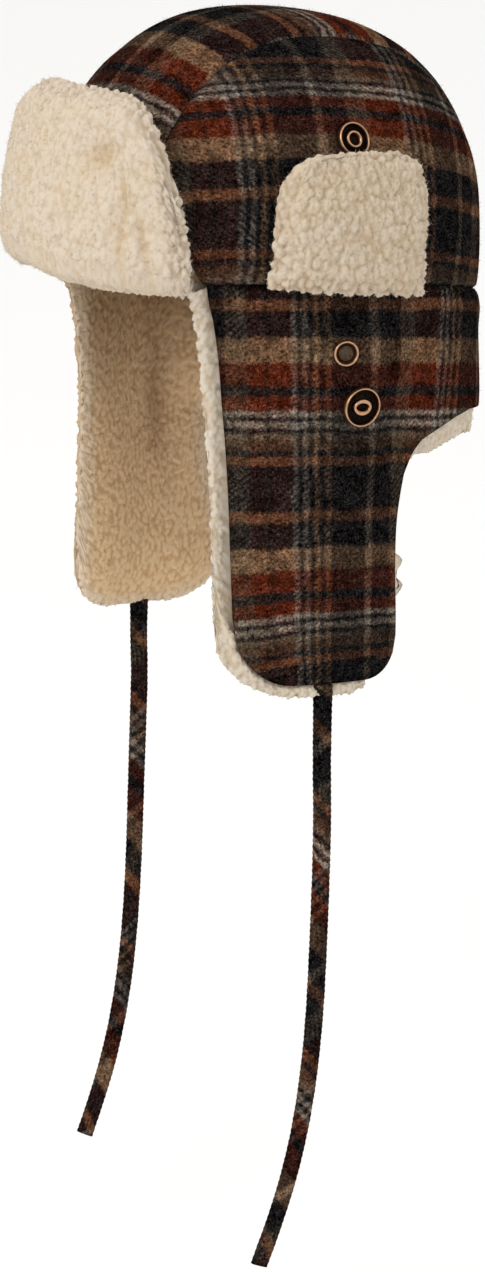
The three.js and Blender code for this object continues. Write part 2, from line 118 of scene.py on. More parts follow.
# The kinds of node used again and again.
MATH, VECTOR, SPLIT = "ShaderNodeMath", "ShaderNodeVectorMath", "ShaderNodeSeparateXYZ"
NOISE, RAMP, BLEND = "ShaderNodeTexNoise", "ShaderNodeValToRGB", "ShaderNodeMix"
READ, PLACE, BUMP = "ShaderNodeAttribute", "ShaderNodeTexCoord", "ShaderNodeBump"
READ_POINT, STORE = "GeometryNodeInputNamedAttribute", "GeometryNodeStoreNamedAttribute"
RANDOM, REALIZE = "FunctionNodeRandomValue", "GeometryNodeRealizeInstances"
MIDDLE_GREY = (0.5, 0.5, 0.5)  # the middle of a colour noise, taken off so that it pushes both ways


def material(name):
    """A new material, with its node tree and its shader."""
    made = bpy.data.materials.new(name)
    made.use_nodes = True
    return made, made.node_tree, made.node_tree.nodes["Principled BSDF"]


# ---------------------------------------------------------------- plaid wool

# One repeat of the check, in millimetres of cloth: the weft runs round the hat, the warp up it.
NAVY, CHARCOAL, LIGHT = "#0a0d13", "#121419", "#8f8377"
RUST, TAN = "#5c210a", "#84674d"
WEFT = [
    (22.0, NAVY),
    (5.5, "#6e4a33"),
    (13.0, NAVY),
    (11.5, TAN),
    (11.0, RUST),
    (4.7, CHARCOAL),
    (7.0, RUST),
    (2.6, LIGHT),
    (2.4, CHARCOAL),
    (3.0, LIGHT),
    (2.4, CHARCOAL),
    (2.6, "#66594b"),
    (5.5, "#513c2d"),
    (3.0, CHARCOAL),
    (4.3, "#6a452f"),
]
# the warp also has how much of the weft shows past its raised nap
WARP = [
    (20.0, NAVY, "#a09c9a"),
    (4.5, "#63574b", "#f0f0f0"),
    (13.5, NAVY, "#b0acaa"),
    (11.0, "#544739", "#f0ece6"),
    (7.5, "#3f1a0b", "#fff4ee"),
    (2.5, "#2e1a12", "#d4ccc6"),
    (10.0, "#3f1a0b", "#fff4ee"),
    (2.6, "#7b7066", "#ffffff"),
    (2.4, CHARCOAL, "#a8a8a8"),
    (2.6, "#71675e", "#ffffff"),
    (2.6, CHARCOAL, "#a8a8a8"),
    (2.4, "#7c5f45", "#ffffff"),
    (3.0, CHARCOAL, "#b0b0b0"),
    (3.0, "#5a422f", "#f0f0f0"),
]
STRIPE_BLUR = 0.65  # mm over which one yarn colour gives way to the next
TWILL = 3.1  # mm along the cloth from one diagonal float to the next


def repeat_of(sett):
    return sum(row[0] for row in sett)


def sett_stops(sett, part=1):
    """Ramp stops for one repeat, each stripe flat in its middle and blurred at its sides."""
    place, table, whole = 0.0, [], repeat_of(sett)
    for row in sett:
        table.append(((place + STRIPE_BLUR) / whole, row[part]))
        table.append(((place + row[0] - STRIPE_BLUR) / whole, row[part]))
        place += row[0]
    return table


def plaid_wool():
    """Brushed wool twill: woven, then raised, so the check has soft edges and a dull, hairy face."""
    made, tree, shader = material("brushed_wool_plaid")
    cloth = node(tree, READ, attribute_name="cloth")["Vector"]
    # raised fibres drag each yarn's colour over its neighbours; tufts are drawn one to two
    # millimetres wide, coarser than the real ones, so that they show at arm's length
    hairs = node(tree, NOISE, {"Vector": cloth, "Scale": 0.75, "Detail": 3.0, "Roughness": 0.6})
    frizz = node(tree, NOISE, {"Vector": cloth, "Scale": 1.7, "Detail": 2.0, "Roughness": 0.6})
    drift = node(tree, NOISE, {"Vector": cloth, "Scale": 0.07, "Detail": 1.0})

    def dragged(base, noise_, reach):
        """The place on the cloth, dragged about by a noise over so many millimetres."""
        away = node(tree, VECTOR, {0: noise_["Color"], 1: MIDDLE_GREY}, operation="SUBTRACT")
        scaled = node(tree, VECTOR, {0: away[0], "Scale": reach}, operation="SCALE")
        return node(tree, VECTOR, {0: base, 1: scaled[0]}, operation="ADD")[0]

    settled = dragged(cloth, drift, 3.0)
    ragged = dragged(dragged(settled, hairs, 4.0), frizz, 3.2)
    lie = node(tree, SPLIT, {0: ragged})
    across = node(tree, MATH, {0: lie[0], 1: repeat_of(WARP)}, operation="DIVIDE")
    across = node(tree, MATH, {0: across[0]}, operation="FRACT")[0]
    along = node(tree, MATH, {0: lie[1], 1: repeat_of(WEFT)}, operation="DIVIDE")
    along = node(tree, MATH, {0: along[0]}, operation="FRACT")[0]
    warp = node(tree, RAMP, {0: across}, sett_stops(WARP))[0]
    weft = node(tree, RAMP, {0: along}, sett_stops(WEFT))[0]
    veil = node(tree, RAMP, {0: across}, sett_stops(WARP, 2))[0]
    weft = node(tree, BLEND, {0: 1.0, 6: weft, 7: veil}, data_type="RGBA", blend_type="MULTIPLY")[2]
    # the twill lifts the warp over the weft in slanting floats, half hidden by the nap
    level = node(tree, SPLIT, {0: dragged(settled, frizz, 2.2)})
    slant = node(tree, MATH, {0: level[0], 1: 0.8}, operation="MULTIPLY")
    diagonal = node(tree, MATH, {0: slant[0], 1: level[1]}, operation="ADD")
    turned = node(tree, MATH, {0: diagonal[0], 1: 2 * math.pi / TWILL}, operation="MULTIPLY")
    wave = node(tree, MATH, {0: turned[0]}, operation="SINE")[0]
    floats = node(tree, MATH, {0: wave, 1: 0.8}, operation="MULTIPLY")
    rough = node(tree, MATH, {0: hairs["Fac"], 1: 7.0, 2: -3.5}, operation="MULTIPLY_ADD")
    lifted = node(tree, MATH, {0: floats[0], 1: rough[0]}, operation="ADD")
    share = node(tree, MATH, {0: lifted[0], 1: 0.22, 2: 0.28}, operation="MULTIPLY_ADD", use_clamp=True)
    woven = node(tree, BLEND, {0: share[0], 6: weft, 7: warp}, data_type="RGBA")[2]
    # single hairs that cross the face in wandering lines, and flecks of grey and ginger
    strands = node(tree, NOISE, {
        "Vector": cloth, "Scale": 0.42, "Detail": 2.0, "Roughness": 0.6, "Distortion": 1.6,
    })
    ridge = node(tree, MATH, {0: strands["Fac"], 1: 0.5}, operation="SUBTRACT")
    ridge = node(tree, MATH, {0: ridge[0]}, operation="ABSOLUTE")
    line = node(tree, MATH, {0: ridge[0], 1: -16.0, 2: 1.0}, operation="MULTIPLY_ADD", use_clamp=True)[0]
    fibre = node(tree, NOISE, {"Vector": cloth, "Scale": 0.72, "Detail": 3.0, "Roughness": 0.7})["Fac"]
    grey = node(tree, MATH, {0: fibre, 1: 6.0, 2: -3.7}, operation="MULTIPLY_ADD", use_clamp=True)[0]
    ginger = node(tree, MATH, {0: hairs["Fac"], 1: 6.0, 2: -3.6}, operation="MULTIPLY_ADD", use_clamp=True)[0]
    for where, strength, code in ((line, 0.08, "#9a8f84"), (grey, 0.07, "#8f867c"), (ginger, 0.1, "#744428")):
        faint = node(tree, MATH, {0: where, 1: strength}, operation="MULTIPLY")
        woven = node(tree, BLEND, {0: faint[0], 6: woven, 7: tint(code)}, data_type="RGBA")[2]
    # and the shade between the tufts
    shade = node(tree, MATH, {0: fibre, 1: 3.3, 2: -1.1}, operation="MULTIPLY_ADD")
    shade = node(tree, MATH, {0: line, 1: 0.5, 2: shade[0]}, operation="MULTIPLY_ADD")
    shade = node(tree, MATH, {0: shade[0], 1: 0.14}, operation="MAXIMUM")
    tufts = node(tree, NOISE, {"Vector": cloth, "Scale": 0.2, "Detail": 2.0})
    broad = node(tree, MATH, {0: drift["Fac"], 1: 1.2, 2: -0.7}, operation="MULTIPLY_ADD")
    broad = node(tree, MATH, {0: tufts["Fac"], 1: 2.2, 2: broad[0]}, operation="MULTIPLY_ADD")
    shade = node(tree, MATH, {0: shade[0], 1: broad[0]}, operation="MULTIPLY")
    shaded = node(tree, VECTOR, {0: woven, "Scale": shade[0]}, operation="SCALE")
    # cut edge, where the tan backing shows
    rim = node(tree, READ, attribute_name="rim")["Fac"]
    edged = node(tree, BLEND, {0: rim, 6: shaded[0], 7: tint("#80603f")}, data_type="RGBA")[2]
    relief = node(tree, MATH, {0: wave, 1: 0.08}, operation="MULTIPLY")
    relief = node(tree, MATH, {0: relief[0], 1: fibre}, operation="ADD")
    bump = node(tree, BUMP, {"Height": relief[0], "Strength": 0.4, "Distance": 0.0008})
    fill(tree, shader, {
        "Base Color": edged, "Normal": bump[0], "Roughness": 1.0, "Specular IOR Level": 0.0,
    })
    return made


# ---------------------------------------------------------------- sherpa


def sherpa(name, valley, crest, patch, shade_and_wear, shade_valley=None, shade_crest=None):
    """Polyester sherpa: knitted pile tumbled into curls, matt and soft, with painted shade down between them.
    """
    made, tree, shader = material(name)
    place = node(tree, PLACE)["Object"]
    height = node(tree, READ, attribute_name="height")["Fac"]
    # painted shade: the valley colour darkens the pile down between the curls
    colour = node(tree, RAMP, {0: height}, [(0.0, valley), (0.7, crest), (1.0, crest)])[0]
    # painted shade: the lining's inside takes a tan ramp where the inside value is set
    if shade_valley:
        inside = node(tree, READ, attribute_name="inside")["Fac"]
        deep = [(0.0, shade_valley), (0.6, shade_crest), (1.0, shade_crest)]
        deep = node(tree, RAMP, {0: height}, deep)[0]
        colour = node(tree, BLEND, {0: inside, 6: colour, 7: deep}, data_type="RGBA")[2]
    # the worn value browns the pile: painted shade in the front flap's dimple and creases and high inside the
    # lining, random wear on the ear tabs
    rubbed = node(tree, READ, attribute_name="worn")["Fac"]
    colour = node(tree, BLEND, {0: rubbed, 6: colour, 7: tint(shade_and_wear)}, data_type="RGBA")[2]
    # the knit takes its dye in clouds about 18 mm wide
    cloudy = node(tree, NOISE, {"Vector": place, "Scale": 55.0, "Detail": 2.0})
    cloud = node(tree, MATH, {0: cloudy["Fac"], 1: 2.4, 2: -0.9}, operation="MULTIPLY_ADD", use_clamp=True)
    faint = node(tree, MATH, {0: cloud[0], 1: 0.35}, operation="MULTIPLY")
    colour = node(tree, BLEND, {0: faint[0], 6: colour, 7: tint(patch)}, data_type="RGBA")[2]
    # strands lie 0.9 mm apart, coarser than the real ones, so that they show
    strands = node(tree, NOISE, {"Vector": place, "Scale": 1100.0, "Detail": 3.0})
    bump = node(tree, BUMP, {"Height": strands["Fac"], "Strength": 0.5, "Distance": 0.0006})
    fill(tree, shader, {
        "Base Color": colour, "Normal": bump[0], "Roughness": 1.0, "Specular IOR Level": 0.05,
    })
    return made


# ---------------------------------------------------------------- metal and gauze


def antique_copper():
    """Copper plate over brass stampings, oxidised dark and rubbed bright where it stands proud."""
    made, tree, shader = material("antique_copper")
    place = node(tree, PLACE)["Object"]
    polish = node(tree, READ, attribute_name="polish")["Fac"]
    # the oxide lies in blotches about 1.4 mm wide
    blotch = node(tree, NOISE, {"Vector": place, "Scale": 700.0, "Detail": 3.0})
    uneven = node(tree, MATH, {0: blotch["Fac"], 1: 0.5, 2: -0.25}, operation="MULTIPLY_ADD")
    rubbed = node(tree, MATH, {0: polish, 1: uneven[0]}, operation="ADD", use_clamp=True)[0]
    patina = [(0.0, "#15100e"), (0.35, "#3a271c"), (0.7, "#8c6346"), (1.0, "#c59b78")]
    colour = node(tree, RAMP, {0: rubbed}, patina)[0]
    rough = node(tree, MATH, {0: rubbed, 1: -0.25, 2: 0.55}, operation="MULTIPLY_ADD")[0]
    fill(tree, shader, {"Base Color": colour, "Roughness": rough, "Metallic": 1.0})
    return made


def vent_gauze():
    """Fine bronze-brown wire cloth, woven plain."""
    made, tree, shader = material("vent_gauze")
    place = node(tree, PLACE)["Object"]
    # lint and dust sit on it in specks 0.7 mm wide
    dust = node(tree, NOISE, {"Vector": place, "Scale": 1500.0, "Detail": 2.0})
    colour = node(tree, RAMP, {0: dust["Fac"]}, [(0.3, "#3a2a20"), (0.7, "#7a6048")])[0]
    fill(tree, shader, {"Base Color": colour, "Roughness": 0.55, "Metallic": 0.3})
    return made


PLAID = plaid_wool()
# the cream's brown is painted shade in the front flap's dimple and creases, and random wear on the ear tabs
SHERPA = sherpa("sherpa_cream", "#c3b19a", "#cec0ae", "#cab493", "#b49560")
# the lining's dark brown and its last two tans are painted shade inside the hat
LINING = sherpa("sherpa_lining", "#c2b19a", "#d1c6b6", "#cab48f", "#66380f", "#bd9b73", "#d3b590")
COPPER = antique_copper()
GAUZE = vent_gauze()

# ---------------------------------------------------------------- curves and tables


def mix(a, b, t):
    return a + (b - a) * t


def smooth(t):
    c = np.clip(t, 0.0, 1.0)
    return c * c * (3 - 2 * c)


def quarter_round(t):
    """Falls from 1 to 0 along a quarter of a circle as t goes from 0 to 1."""
    return 1 - np.sqrt(np.maximum(0, 1 - (1 - np.minimum(1, t)) ** 2))


def through(places, values, at):
    """A smooth curve through a table's values, read at other places."""
    places, values, at = np.asarray(places, float), np.asarray(values, float), np.asarray(at, float)
    slopes = np.gradient(values, places)
    at = np.clip(at, places[0], places[-1])
    i = np.clip(np.searchsorted(places, at) - 1, 0, len(places) - 2)
    width = places[i + 1] - places[i]
    t = (at - places[i]) / width
    a, b = values[i], values[i + 1]
    rise_a, rise_b = slopes[i] * width, slopes[i + 1] * width
    cubic = 2 * a - 2 * b + rise_a + rise_b
    square = -3 * a + 3 * b - 2 * rise_a - rise_b
    return a + t * (rise_a + t * (square + t * cubic))


def worn(points):
    """Hat-level millimetres to metres in the frame, tipped back as worn."""
    c, s = math.cos(TIP_BACK), math.sin(TIP_BACK)
    x, y, z = points[..., 0], points[..., 1], points[..., 2]
    return np.stack([x, c * y + s * z, -s * y + c * z], axis=-1) * MM


def ripple(points, size, seed=0.0):
    """Smooth noise from -1 to 1 at each point, with humps about size millimetres wide."""
    flat = points.reshape(-1, 3) / size + seed
    values = np.array([noise.noise(Vector(p)) for p in flat])
    return values.reshape(points.shape[:-1])


# ---------------------------------------------------------------- crown surface

HALF_WIDTH, HALF_LENGTH, HEIGHT = 93.0, 111.0, 126.0
PLAN_POWER, SIDE_POWER = 2.2, 2.39  # 2 is an ellipse, more is squarer
BAND_ARCH = 11.6  # how far the band seam rises over the ears
FRONT_RISE = 9.0  # and how far under the front flap, between two angles from the side
FRONT_RISE_FROM, FRONT_RISE_TO = -45.0, -50.0
# Half the centre strip's width, by degrees of turn from front over the top to back.
STRIP_TURN = [0, 60, 110, 140, 180]
STRIP_HALF = [41, 39, 41, 48, 55]
FAR_OUT, HALVINGS = 200.0, 40  # where a search for the crown starts, and how often it is halved


def crown_value(x, y, z):
    """Below 1 inside the crown's outer face, 1 on it."""
    plan = np.abs(x / HALF_WIDTH) ** PLAN_POWER + np.abs(y / HALF_LENGTH) ** PLAN_POWER
    return plan ** (SIDE_POWER / PLAN_POWER) + np.abs(z / HEIGHT) ** SIDE_POWER


def on_crown(p):
    """A point drawn straight out to the crown's face."""
    value = crown_value(p[..., 0], p[..., 1], p[..., 2])
    return p * (value ** (-1 / SIDE_POWER))[..., None]


def crown_across(x, turn):
    """The crown at a distance x from the middle plane, turned from front over the top."""
    a = np.radians(turn)
    x = x + 0 * a
    low, high = np.zeros_like(x), np.full_like(x, FAR_OUT)
    for _ in range(HALVINGS):
        r = (low + high) / 2
        inside = crown_value(x, -r * np.cos(a), r * np.sin(a)) < 1
        low, high = np.where(inside, r, low), np.where(inside, high, r)
    return np.stack([x, -low * np.cos(a), low * np.sin(a)], axis=-1)


def crown_round(angle, z):
    """The crown's plan at a height, by angle from the left side (0) to the back (90)."""
    a = np.radians(angle)
    r = (1 - np.abs(z / HEIGHT) ** SIDE_POWER) ** (1 / SIDE_POWER)

    def power(v):
        return np.sign(v) * np.abs(v) ** (2 / PLAN_POWER)

    x, y = r * HALF_WIDTH * power(np.cos(a)), r * HALF_LENGTH * power(np.sin(a))
    return np.stack([x, y, z + 0 * x], axis=-1)


def band_seam(angle):
    """Height of the band seam, by angle from the left side."""
    arch = BAND_ARCH * np.cos(np.radians(angle)) ** 2
    return arch + FRONT_RISE * smooth((angle - FRONT_RISE_FROM) / (FRONT_RISE_TO - FRONT_RISE_FROM))


def beside_crown(y, z):
    """The crown's side at a hat-level y and height, upright below the band."""
    ring = (1 - (np.maximum(0, z) / HEIGHT) ** SIDE_POWER) ** (PLAN_POWER / SIDE_POWER)
    across = np.maximum(0, ring - np.abs(y / HALF_LENGTH) ** PLAN_POWER)
    return np.stack([HALF_WIDTH * across ** (1 / PLAN_POWER), y + 0 * z, z + 0 * y], axis=-1)


# ---------------------------------------------------------------- skirt surface

# Level sections of the skirt: height, then x and y of the cloth at the front edge, the middle
# of the ear flap, the flap's rear edge and the quarter, and y at the back.
SKIRT = [
    (-190, 69.5, -38, 78.8, 8, 76.5, 57, 60, 92, 118),
    (-150, 67, -42, 83, 1, 81, 47.5, 62, 92, 118),
    (-125, 64.4, -45, 86.4, -3.5, 84, 40.5, 63, 92, 118),
    (-100, 63, -48.5, 89.8, -8, 86, 35.5, 65.5, 94, 120),
    (-72, 61, -53, 93, -11.5, 87.6, 35.4, 67.4, 95.2, 121.5),
    (-50, 60, -57.5, 95, -12, 89, 36.5, 68.1, 94.4, 120),
    (-30, 59.8, -62, 95.5, -12, 89.6, 38.5, 67.1, 91.6, 117.5),
    (-12, 61.2, -68.5, 95, -11, 89, 41, 65.8, 88.5, 114.5),
    (4, 66.5, -78, 93.4, -10, 88, 42.5, 64.8, 86, 112),
    (12, 68.7, -80, 92.8, -10, 87.4, 43, 64.3, 85, 111),
]
EDGE_TURN_IN, EDGE_TURN_BACK = 10.0, 12.0  # how the cloth heads off at the front edge
FLAP_BOTTOM = -185.5
SKIRT_HALVINGS = 30
# Height of the neck's lower edge, from the rear of the ear flap (2) to the back (4).
NECK_ALONG = [2, 2.06, 2.15, 2.3, 2.5, 2.7, 3.1, 4]
NECK_Z = [-80, -70, -63.8, -59.5, -54, -51.2, -52, -53]
NECK_TAPER = 0.45  # the pile's share of its overhang left where the neck runs down into the flap
# Rounded lower corners of the flaps: how far each reaches along, and how far up.
CORNER_FRONT, CORNER_FRONT_RISE = {"left": 0.66, "right": 0.62}, 34.0
CORNER_REAR, CORNER_REAR_RISE = {"left": 0.45, "right": 0.62}, {"left": 22.0, "right": 34.0}


def skirt_at(along, z):
    """The skirt's outer face; along runs 0 front edge, 1 side, 2 flap's rear, 3 quarter, 4 back."""
    along, z = np.broadcast_arrays(np.asarray(along, float), np.asarray(z, float))
    levels = [row[0] for row in SKIRT]
    column = [through(levels, [row[k] for row in SKIRT], z) for k in range(1, 10)]
    xs = [column[0], column[2], column[4], column[6], 0 * z, -column[6]]
    ys = [column[1], column[3], column[5], column[7], column[8], column[7]]
    xs.insert(0, 2 * xs[0] - xs[1] - EDGE_TURN_IN)
    ys.insert(0, 2 * ys[0] - ys[1] + EDGE_TURN_BACK)
    i = np.clip(np.floor(along), 0, 3).astype(int)
    t = along - i

    def curve(values):
        stack = np.stack(values)
        v0, v1, v2, v3 = (np.take_along_axis(stack, (i + k)[None], 0)[0] for k in range(4))
        line = (v2 - v0) * t + (2 * v0 - 5 * v1 + 4 * v2 - v3) * t * t
        return v1 + 0.5 * (line + (3 * v1 - v0 - 3 * v2 + v3) * t**3)

    return np.stack([curve(xs), curve(ys), z], axis=-1)


def skirt_top(along):
    """Height of the band seam, by place along the skirt."""
    x = skirt_at(along, 0 * along)[..., 0]
    return BAND_ARCH * np.minimum(1, np.abs(x) / HALF_WIDTH) ** PLAN_POWER


def flap_bottom(along, over, side_name):
    """The flap's lower edge; what hangs past it tucks in at the rear corner of the left flap."""
    front = CORNER_FRONT_RISE * quarter_round(along / CORNER_FRONT[side_name])
    rear = CORNER_REAR_RISE[side_name] * quarter_round((2 - along) / CORNER_REAR[side_name])
    tucked = 1.45 * smooth((along - 1.3) / 0.5) if side_name == "left" else 0.0
    return FLAP_BOTTOM - over * (1 - tucked) + np.where(along < 1, front, rear)


def neck_edge(along, over):
    """The neck's lower edge, or the edge of pile that hangs past it."""
    taper = mix(NECK_TAPER, 1, smooth((along - 2) / 0.4))
    return np.interp(along, NECK_ALONG, NECK_Z) - over * taper


def beside_skirt(y, z):
    """The skirt's side at a hat-level y and height."""
    low, high = np.zeros_like(y + z), np.full_like(y + z, 2.0)
    for _ in range(SKIRT_HALVINGS):
        a = (low + high) / 2
        before = skirt_at(a, z + 0 * y)[..., 1] < y
        low, high = np.where(before, a, low), np.where(before, high, a)
    return skirt_at(low, z + 0 * y)


# ---------------------------------------------------------------- closed shells


def net(blocks):
    """Joins blocks of guide points (rows x columns x 2) into one net of points and quads."""
    flat = np.concatenate([b.reshape(-1, 2) for b in blocks])
    points, where = np.unique(np.round(flat, 5), axis=0, return_inverse=True)
    where = where.reshape(-1)
    quads, start = [], 0
    for block in blocks:
        rows, columns = block.shape[:2]
        index = where[start : start + rows * columns].reshape(rows, columns)
        start += rows * columns
        quads.append(
            np.stack([index[:-1, :-1], index[:-1, 1:], index[1:, 1:], index[1:, :-1]], -1).reshape(-1, 4)
        )
    return points, np.concatenate(quads)


def guide_normal(guide, points, step):
    """The way out of a guide surface at each point of a net."""
    u, v = points[:, 0], points[:, 1]
    du = guide(u + step, v) - guide(u - step, v)
    dv = guide(u, v + step) - guide(u, v - step)
    n = np.cross(du, dv)
    return n / np.linalg.norm(n, axis=1)[:, None]


def shell(net_, guide, hidden, shown, step, rings=0, bulge=0.0, extra=None, back_pile=0.0):
    """A closed shell over a net: its hidden face, its shown face and the wall round its border.

    The wall has so many rings, and bulges out by that share of the thickness. Gives hat-level
    points, faces, and per-point values: pile (1 on the shown face, back_pile on the hidden one),
    rim (1 on the border) and whatever extra holds for the net's points, either one value or a
    pair for the hidden and the shown face."""
    points, quads = net_
    base, normal = guide(points[:, 0], points[:, 1]), guide_normal(guide, points, step)
    back = base + normal * np.broadcast_to(hidden, len(points))[:, None]
    front = base + normal * np.broadcast_to(shown, len(points))[:, None]
    count = len(points)
    edges = np.concatenate([quads[:, [k, (k + 1) % 4]] for k in range(4)])
    keys = set(map(tuple, edges))
    border = [(p, q) for p, q in keys if (q, p) not in keys]
    away = {}
    for p, q in border:
        side = np.cross(front[q] - front[p], normal[p])
        for k in (p, q):
            away[k] = away.get(k, 0) + side / max(1e-9, np.linalg.norm(side))
    ring_points, chains = [], {}
    thick = np.linalg.norm(front - back, axis=1)
    for k, side in away.items():
        side = side / max(1e-9, np.linalg.norm(side))
        chain = [k + count]
        for r in range(rings):
            t = (r + 1) / (rings + 1)
            out = math.sin(math.pi * t) * bulge * thick[k]
            chain.append(2 * count + len(ring_points))
            ring_points.append(mix(front[k], back[k], t) + side * out)
        chains[k] = chain + [k]
    faces = [tuple(q[::-1]) for q in quads] + [tuple(q + count) for q in quads]
    for p, q in border:
        a, b = chains[p], chains[q]
        faces += [(b[i], a[i], a[i + 1], b[i + 1]) for i in range(rings + 1)]
    everything = np.concatenate([back, front] + ([np.array(ring_points)] if rings else []))
    on_ring = [k for k in away for _ in range(rings)]
    back_pile = np.broadcast_to(back_pile, count)
    steps = np.array([(r + 1) / (rings + 1) for r in range(rings)])
    ring_pile = mix(1.0, back_pile[list(away)][:, None], steps[None]).reshape(-1)
    pile = np.concatenate([back_pile, np.ones(count), ring_pile])
    rim = np.zeros(len(everything))
    rim[list(away)] = 1
    rim[2 * count :] = 1
    values = {"pile": pile, "rim": rim}
    for name, value in (extra or {}).items():
        behind, ahead = value if isinstance(value, tuple) else (value, value)
        between = mix(behind, ahead, 0.4)[on_ring]
        values[name] = np.concatenate([behind, ahead, between])
    return everything, faces, values


def volume(points, faces):
    """Six times the volume that closed faces hold; below zero when they point inwards."""
    total = 0.0
    for face in faces:
        first = points[face[0]]
        for second, third in zip(face[1:], face[2:]):
            total += np.dot(first, np.cross(points[second], points[third]))
    return total


def make_mesh(name, points, faces, values=None, metres=False):
    """A smooth mesh object whose faces point outwards, with its point attributes."""
    if volume(points, faces) < 0:
        faces = [f[::-1] for f in faces]
    mesh = bpy.data.meshes.new(name)
    placed = points if metres else worn(points)
    mesh.from_pydata(placed.tolist(), [], [list(map(int, f)) for f in faces])
    for key, value in (values or {}).items():
        value = np.asarray(value, float)
        kind, field = ("FLOAT_VECTOR", "vector") if value.ndim == 2 else ("FLOAT", "value")
        layer = mesh.attributes.new(key, kind, "POINT")
        layer.data.foreach_set(field, value.reshape(-1))
    mesh.shade_smooth()
    return in_scene(name, mesh)


def turn_outwards(mesh):
    """Points the faces of a mesh of closed bits outwards."""
    work = bmesh.new()
    work.from_mesh(mesh)
    bmesh.ops.recalc_face_normals(work, faces=work.faces)
    work.to_mesh(mesh)
    work.free()


def for_side(side_name, points, faces, values):
    """A piece worked out on the left side, mirrored when it is the right one."""
    if side_name == "left":
        return points, faces, values
    return points * np.array([SIDES["right"], 1.0, 1.0]), [f[::-1] for f in faces], values


def finish_piece(piece, look, node_name):
    """Gives a finished piece its material and its body, and hides the imported part it stands for."""
    piece.data.materials.clear()
    piece.data.materials.append(look)
    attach(piece, "root")
    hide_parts(node_name)
    return piece


def arc_from(grid, axis):
    """Length along a grid of points from its first row or column."""
    steps = np.linalg.norm(np.diff(grid, axis=axis), axis=-1)
    first = np.zeros_like(np.take(steps, [0], axis=axis))
    return np.cumsum(np.concatenate([first, steps], axis=axis), axis=axis)


def seam_roll(distance):
    """How far the cloth dips as it turns in at a seam."""
    return 1.5 * np.exp(-((distance / 1.5) ** 2)) + 0.5 * np.exp(-((distance / 6.0) ** 2))


# ---------------------------------------------------------------- ties (cords)

TIE_WIDTH, TIE_THICK = 9.0, 3.6
# Middle of each tie from its root down, in millimetres of the frame, as it hangs.
TIE_ROUTES = {
    "left": [
        (79.5, -18.4, -185.0), (79.4, -18.3, -193.0), (79.1, -18.1, -204),
        (78.2, -17.4, -228), (78.6, -17.2, -254), (78.7, -17.5, -280),
        (78.6, -18.1, -306), (78.4, -18.9, -332), (78.2, -20.0, -358),
        (77.9, -21.9, -384), (77.5, -24.9, -409), (77.0, -29.2, -433),
        (76.5, -35.4, -456.5), (76.0, -43.6, -479.5), (75.6, -53.0, -501.5),
    ],
    "right": [
        (-79.2, -18.2, -187.0), (-79.3, -18.3, -194.0), (-79.3, -18.6, -204),
        (-78.4, -19.2, -228), (-78.7, -20.2, -254), (-78.8, -21.5, -280),
        (-78.7, -22.9, -306), (-78.4, -24.5, -332), (-78.0, -26.7, -358),
        (-77.5, -29.8, -384), (-77.0, -34.0, -409), (-76.5, -39.6, -433),
        (-76.0, -46.8, -456), (-75.6, -55.8, -478.5), (-75.3, -62.5, -493.5),
    ],
}
TIE_FACING = (0.55, 0.835, 0.0)  # the flat of the tie lies along this way at its root
TIE_CLOTH = {"left": (0.0, 142.6), "right": (25.0, 139.8)}  # where the check falls at the root
TIE_RINGS, TIE_SIDES = 300, 20
TIE_SWING = np.radians(14)  # how far the flat of the tie turns to and fro
BIAS = math.sqrt(0.5)


def make_tie(side_name):
    """A flat tie: a folded and topstitched strip of the plaid, with a square sewn end."""
    route = np.array(TIE_ROUTES[side_name])
    length_at = np.concatenate([[0], np.cumsum(np.linalg.norm(np.diff(route, axis=0), axis=1))])
    at = np.linspace(0, length_at[-1], TIE_RINGS)
    middle = np.stack([through(length_at, route[:, k], at) for k in range(3)], -1)
    tangent = np.gradient(middle, axis=0)
    tangent /= np.linalg.norm(tangent, axis=1)[:, None]
    swing = TIE_SWING * np.sin(at / 61.0 + (0 if side_name == "left" else 2))
    facing = np.array(TIE_FACING)
    across_at, up_at = TIE_CLOTH[side_name]
    points, cloth = [], []
    for i in range(TIE_RINGS):
        wide = facing - tangent[i] * np.dot(facing, tangent[i])
        wide /= np.linalg.norm(wide)
        deep = np.cross(tangent[i], wide)
        c, s = math.cos(swing[i]), math.sin(swing[i])
        wide, deep = wide * c + deep * s, deep * c - wide * s
        # puckers where the edge stitching draws the cloth in
        pucker = 1 + 0.035 * math.sin(at[i] * 1.9) + 0.03 * noise.noise(Vector((at[i] / 9, 0, 3)))
        root = 1 + 0.08 * math.exp(-at[i] / 12)
        for k in range(TIE_SIDES):
            a = 2 * math.pi * k / TIE_SIDES
            x = math.copysign(abs(math.cos(a)) ** 0.55, math.cos(a)) * TIE_WIDTH / 2 * root * pucker
            y = math.copysign(abs(math.sin(a)) ** 0.8, math.sin(a)) * TIE_THICK / 2
            points.append(middle[i] + wide * x + deep * y)
            cloth.append((across_at + (x + at[i]) * BIAS, up_at + (x - at[i]) * BIAS, 0))
    faces = []
    for i in range(TIE_RINGS - 1):
        for k in range(TIE_SIDES):
            a, b = i * TIE_SIDES + k, i * TIE_SIDES + (k + 1) % TIE_SIDES
            faces.append((a, b, b + TIE_SIDES, a + TIE_SIDES))
    faces.append(tuple(range(TIE_SIDES))[::-1])
    faces.append(tuple((TIE_RINGS - 1) * TIE_SIDES + k for k in range(TIE_SIDES)))
    piece = make_mesh(f"tie_cloth_{side_name}", np.array(points) * MM, faces, {"cloth": cloth}, metres=True)
    finish_piece(piece, PLAID, f"tie_{side_name}")


for side_name in SIDES:
    make_tie(side_name)


# ---------------------------------------------------------------- crown panels

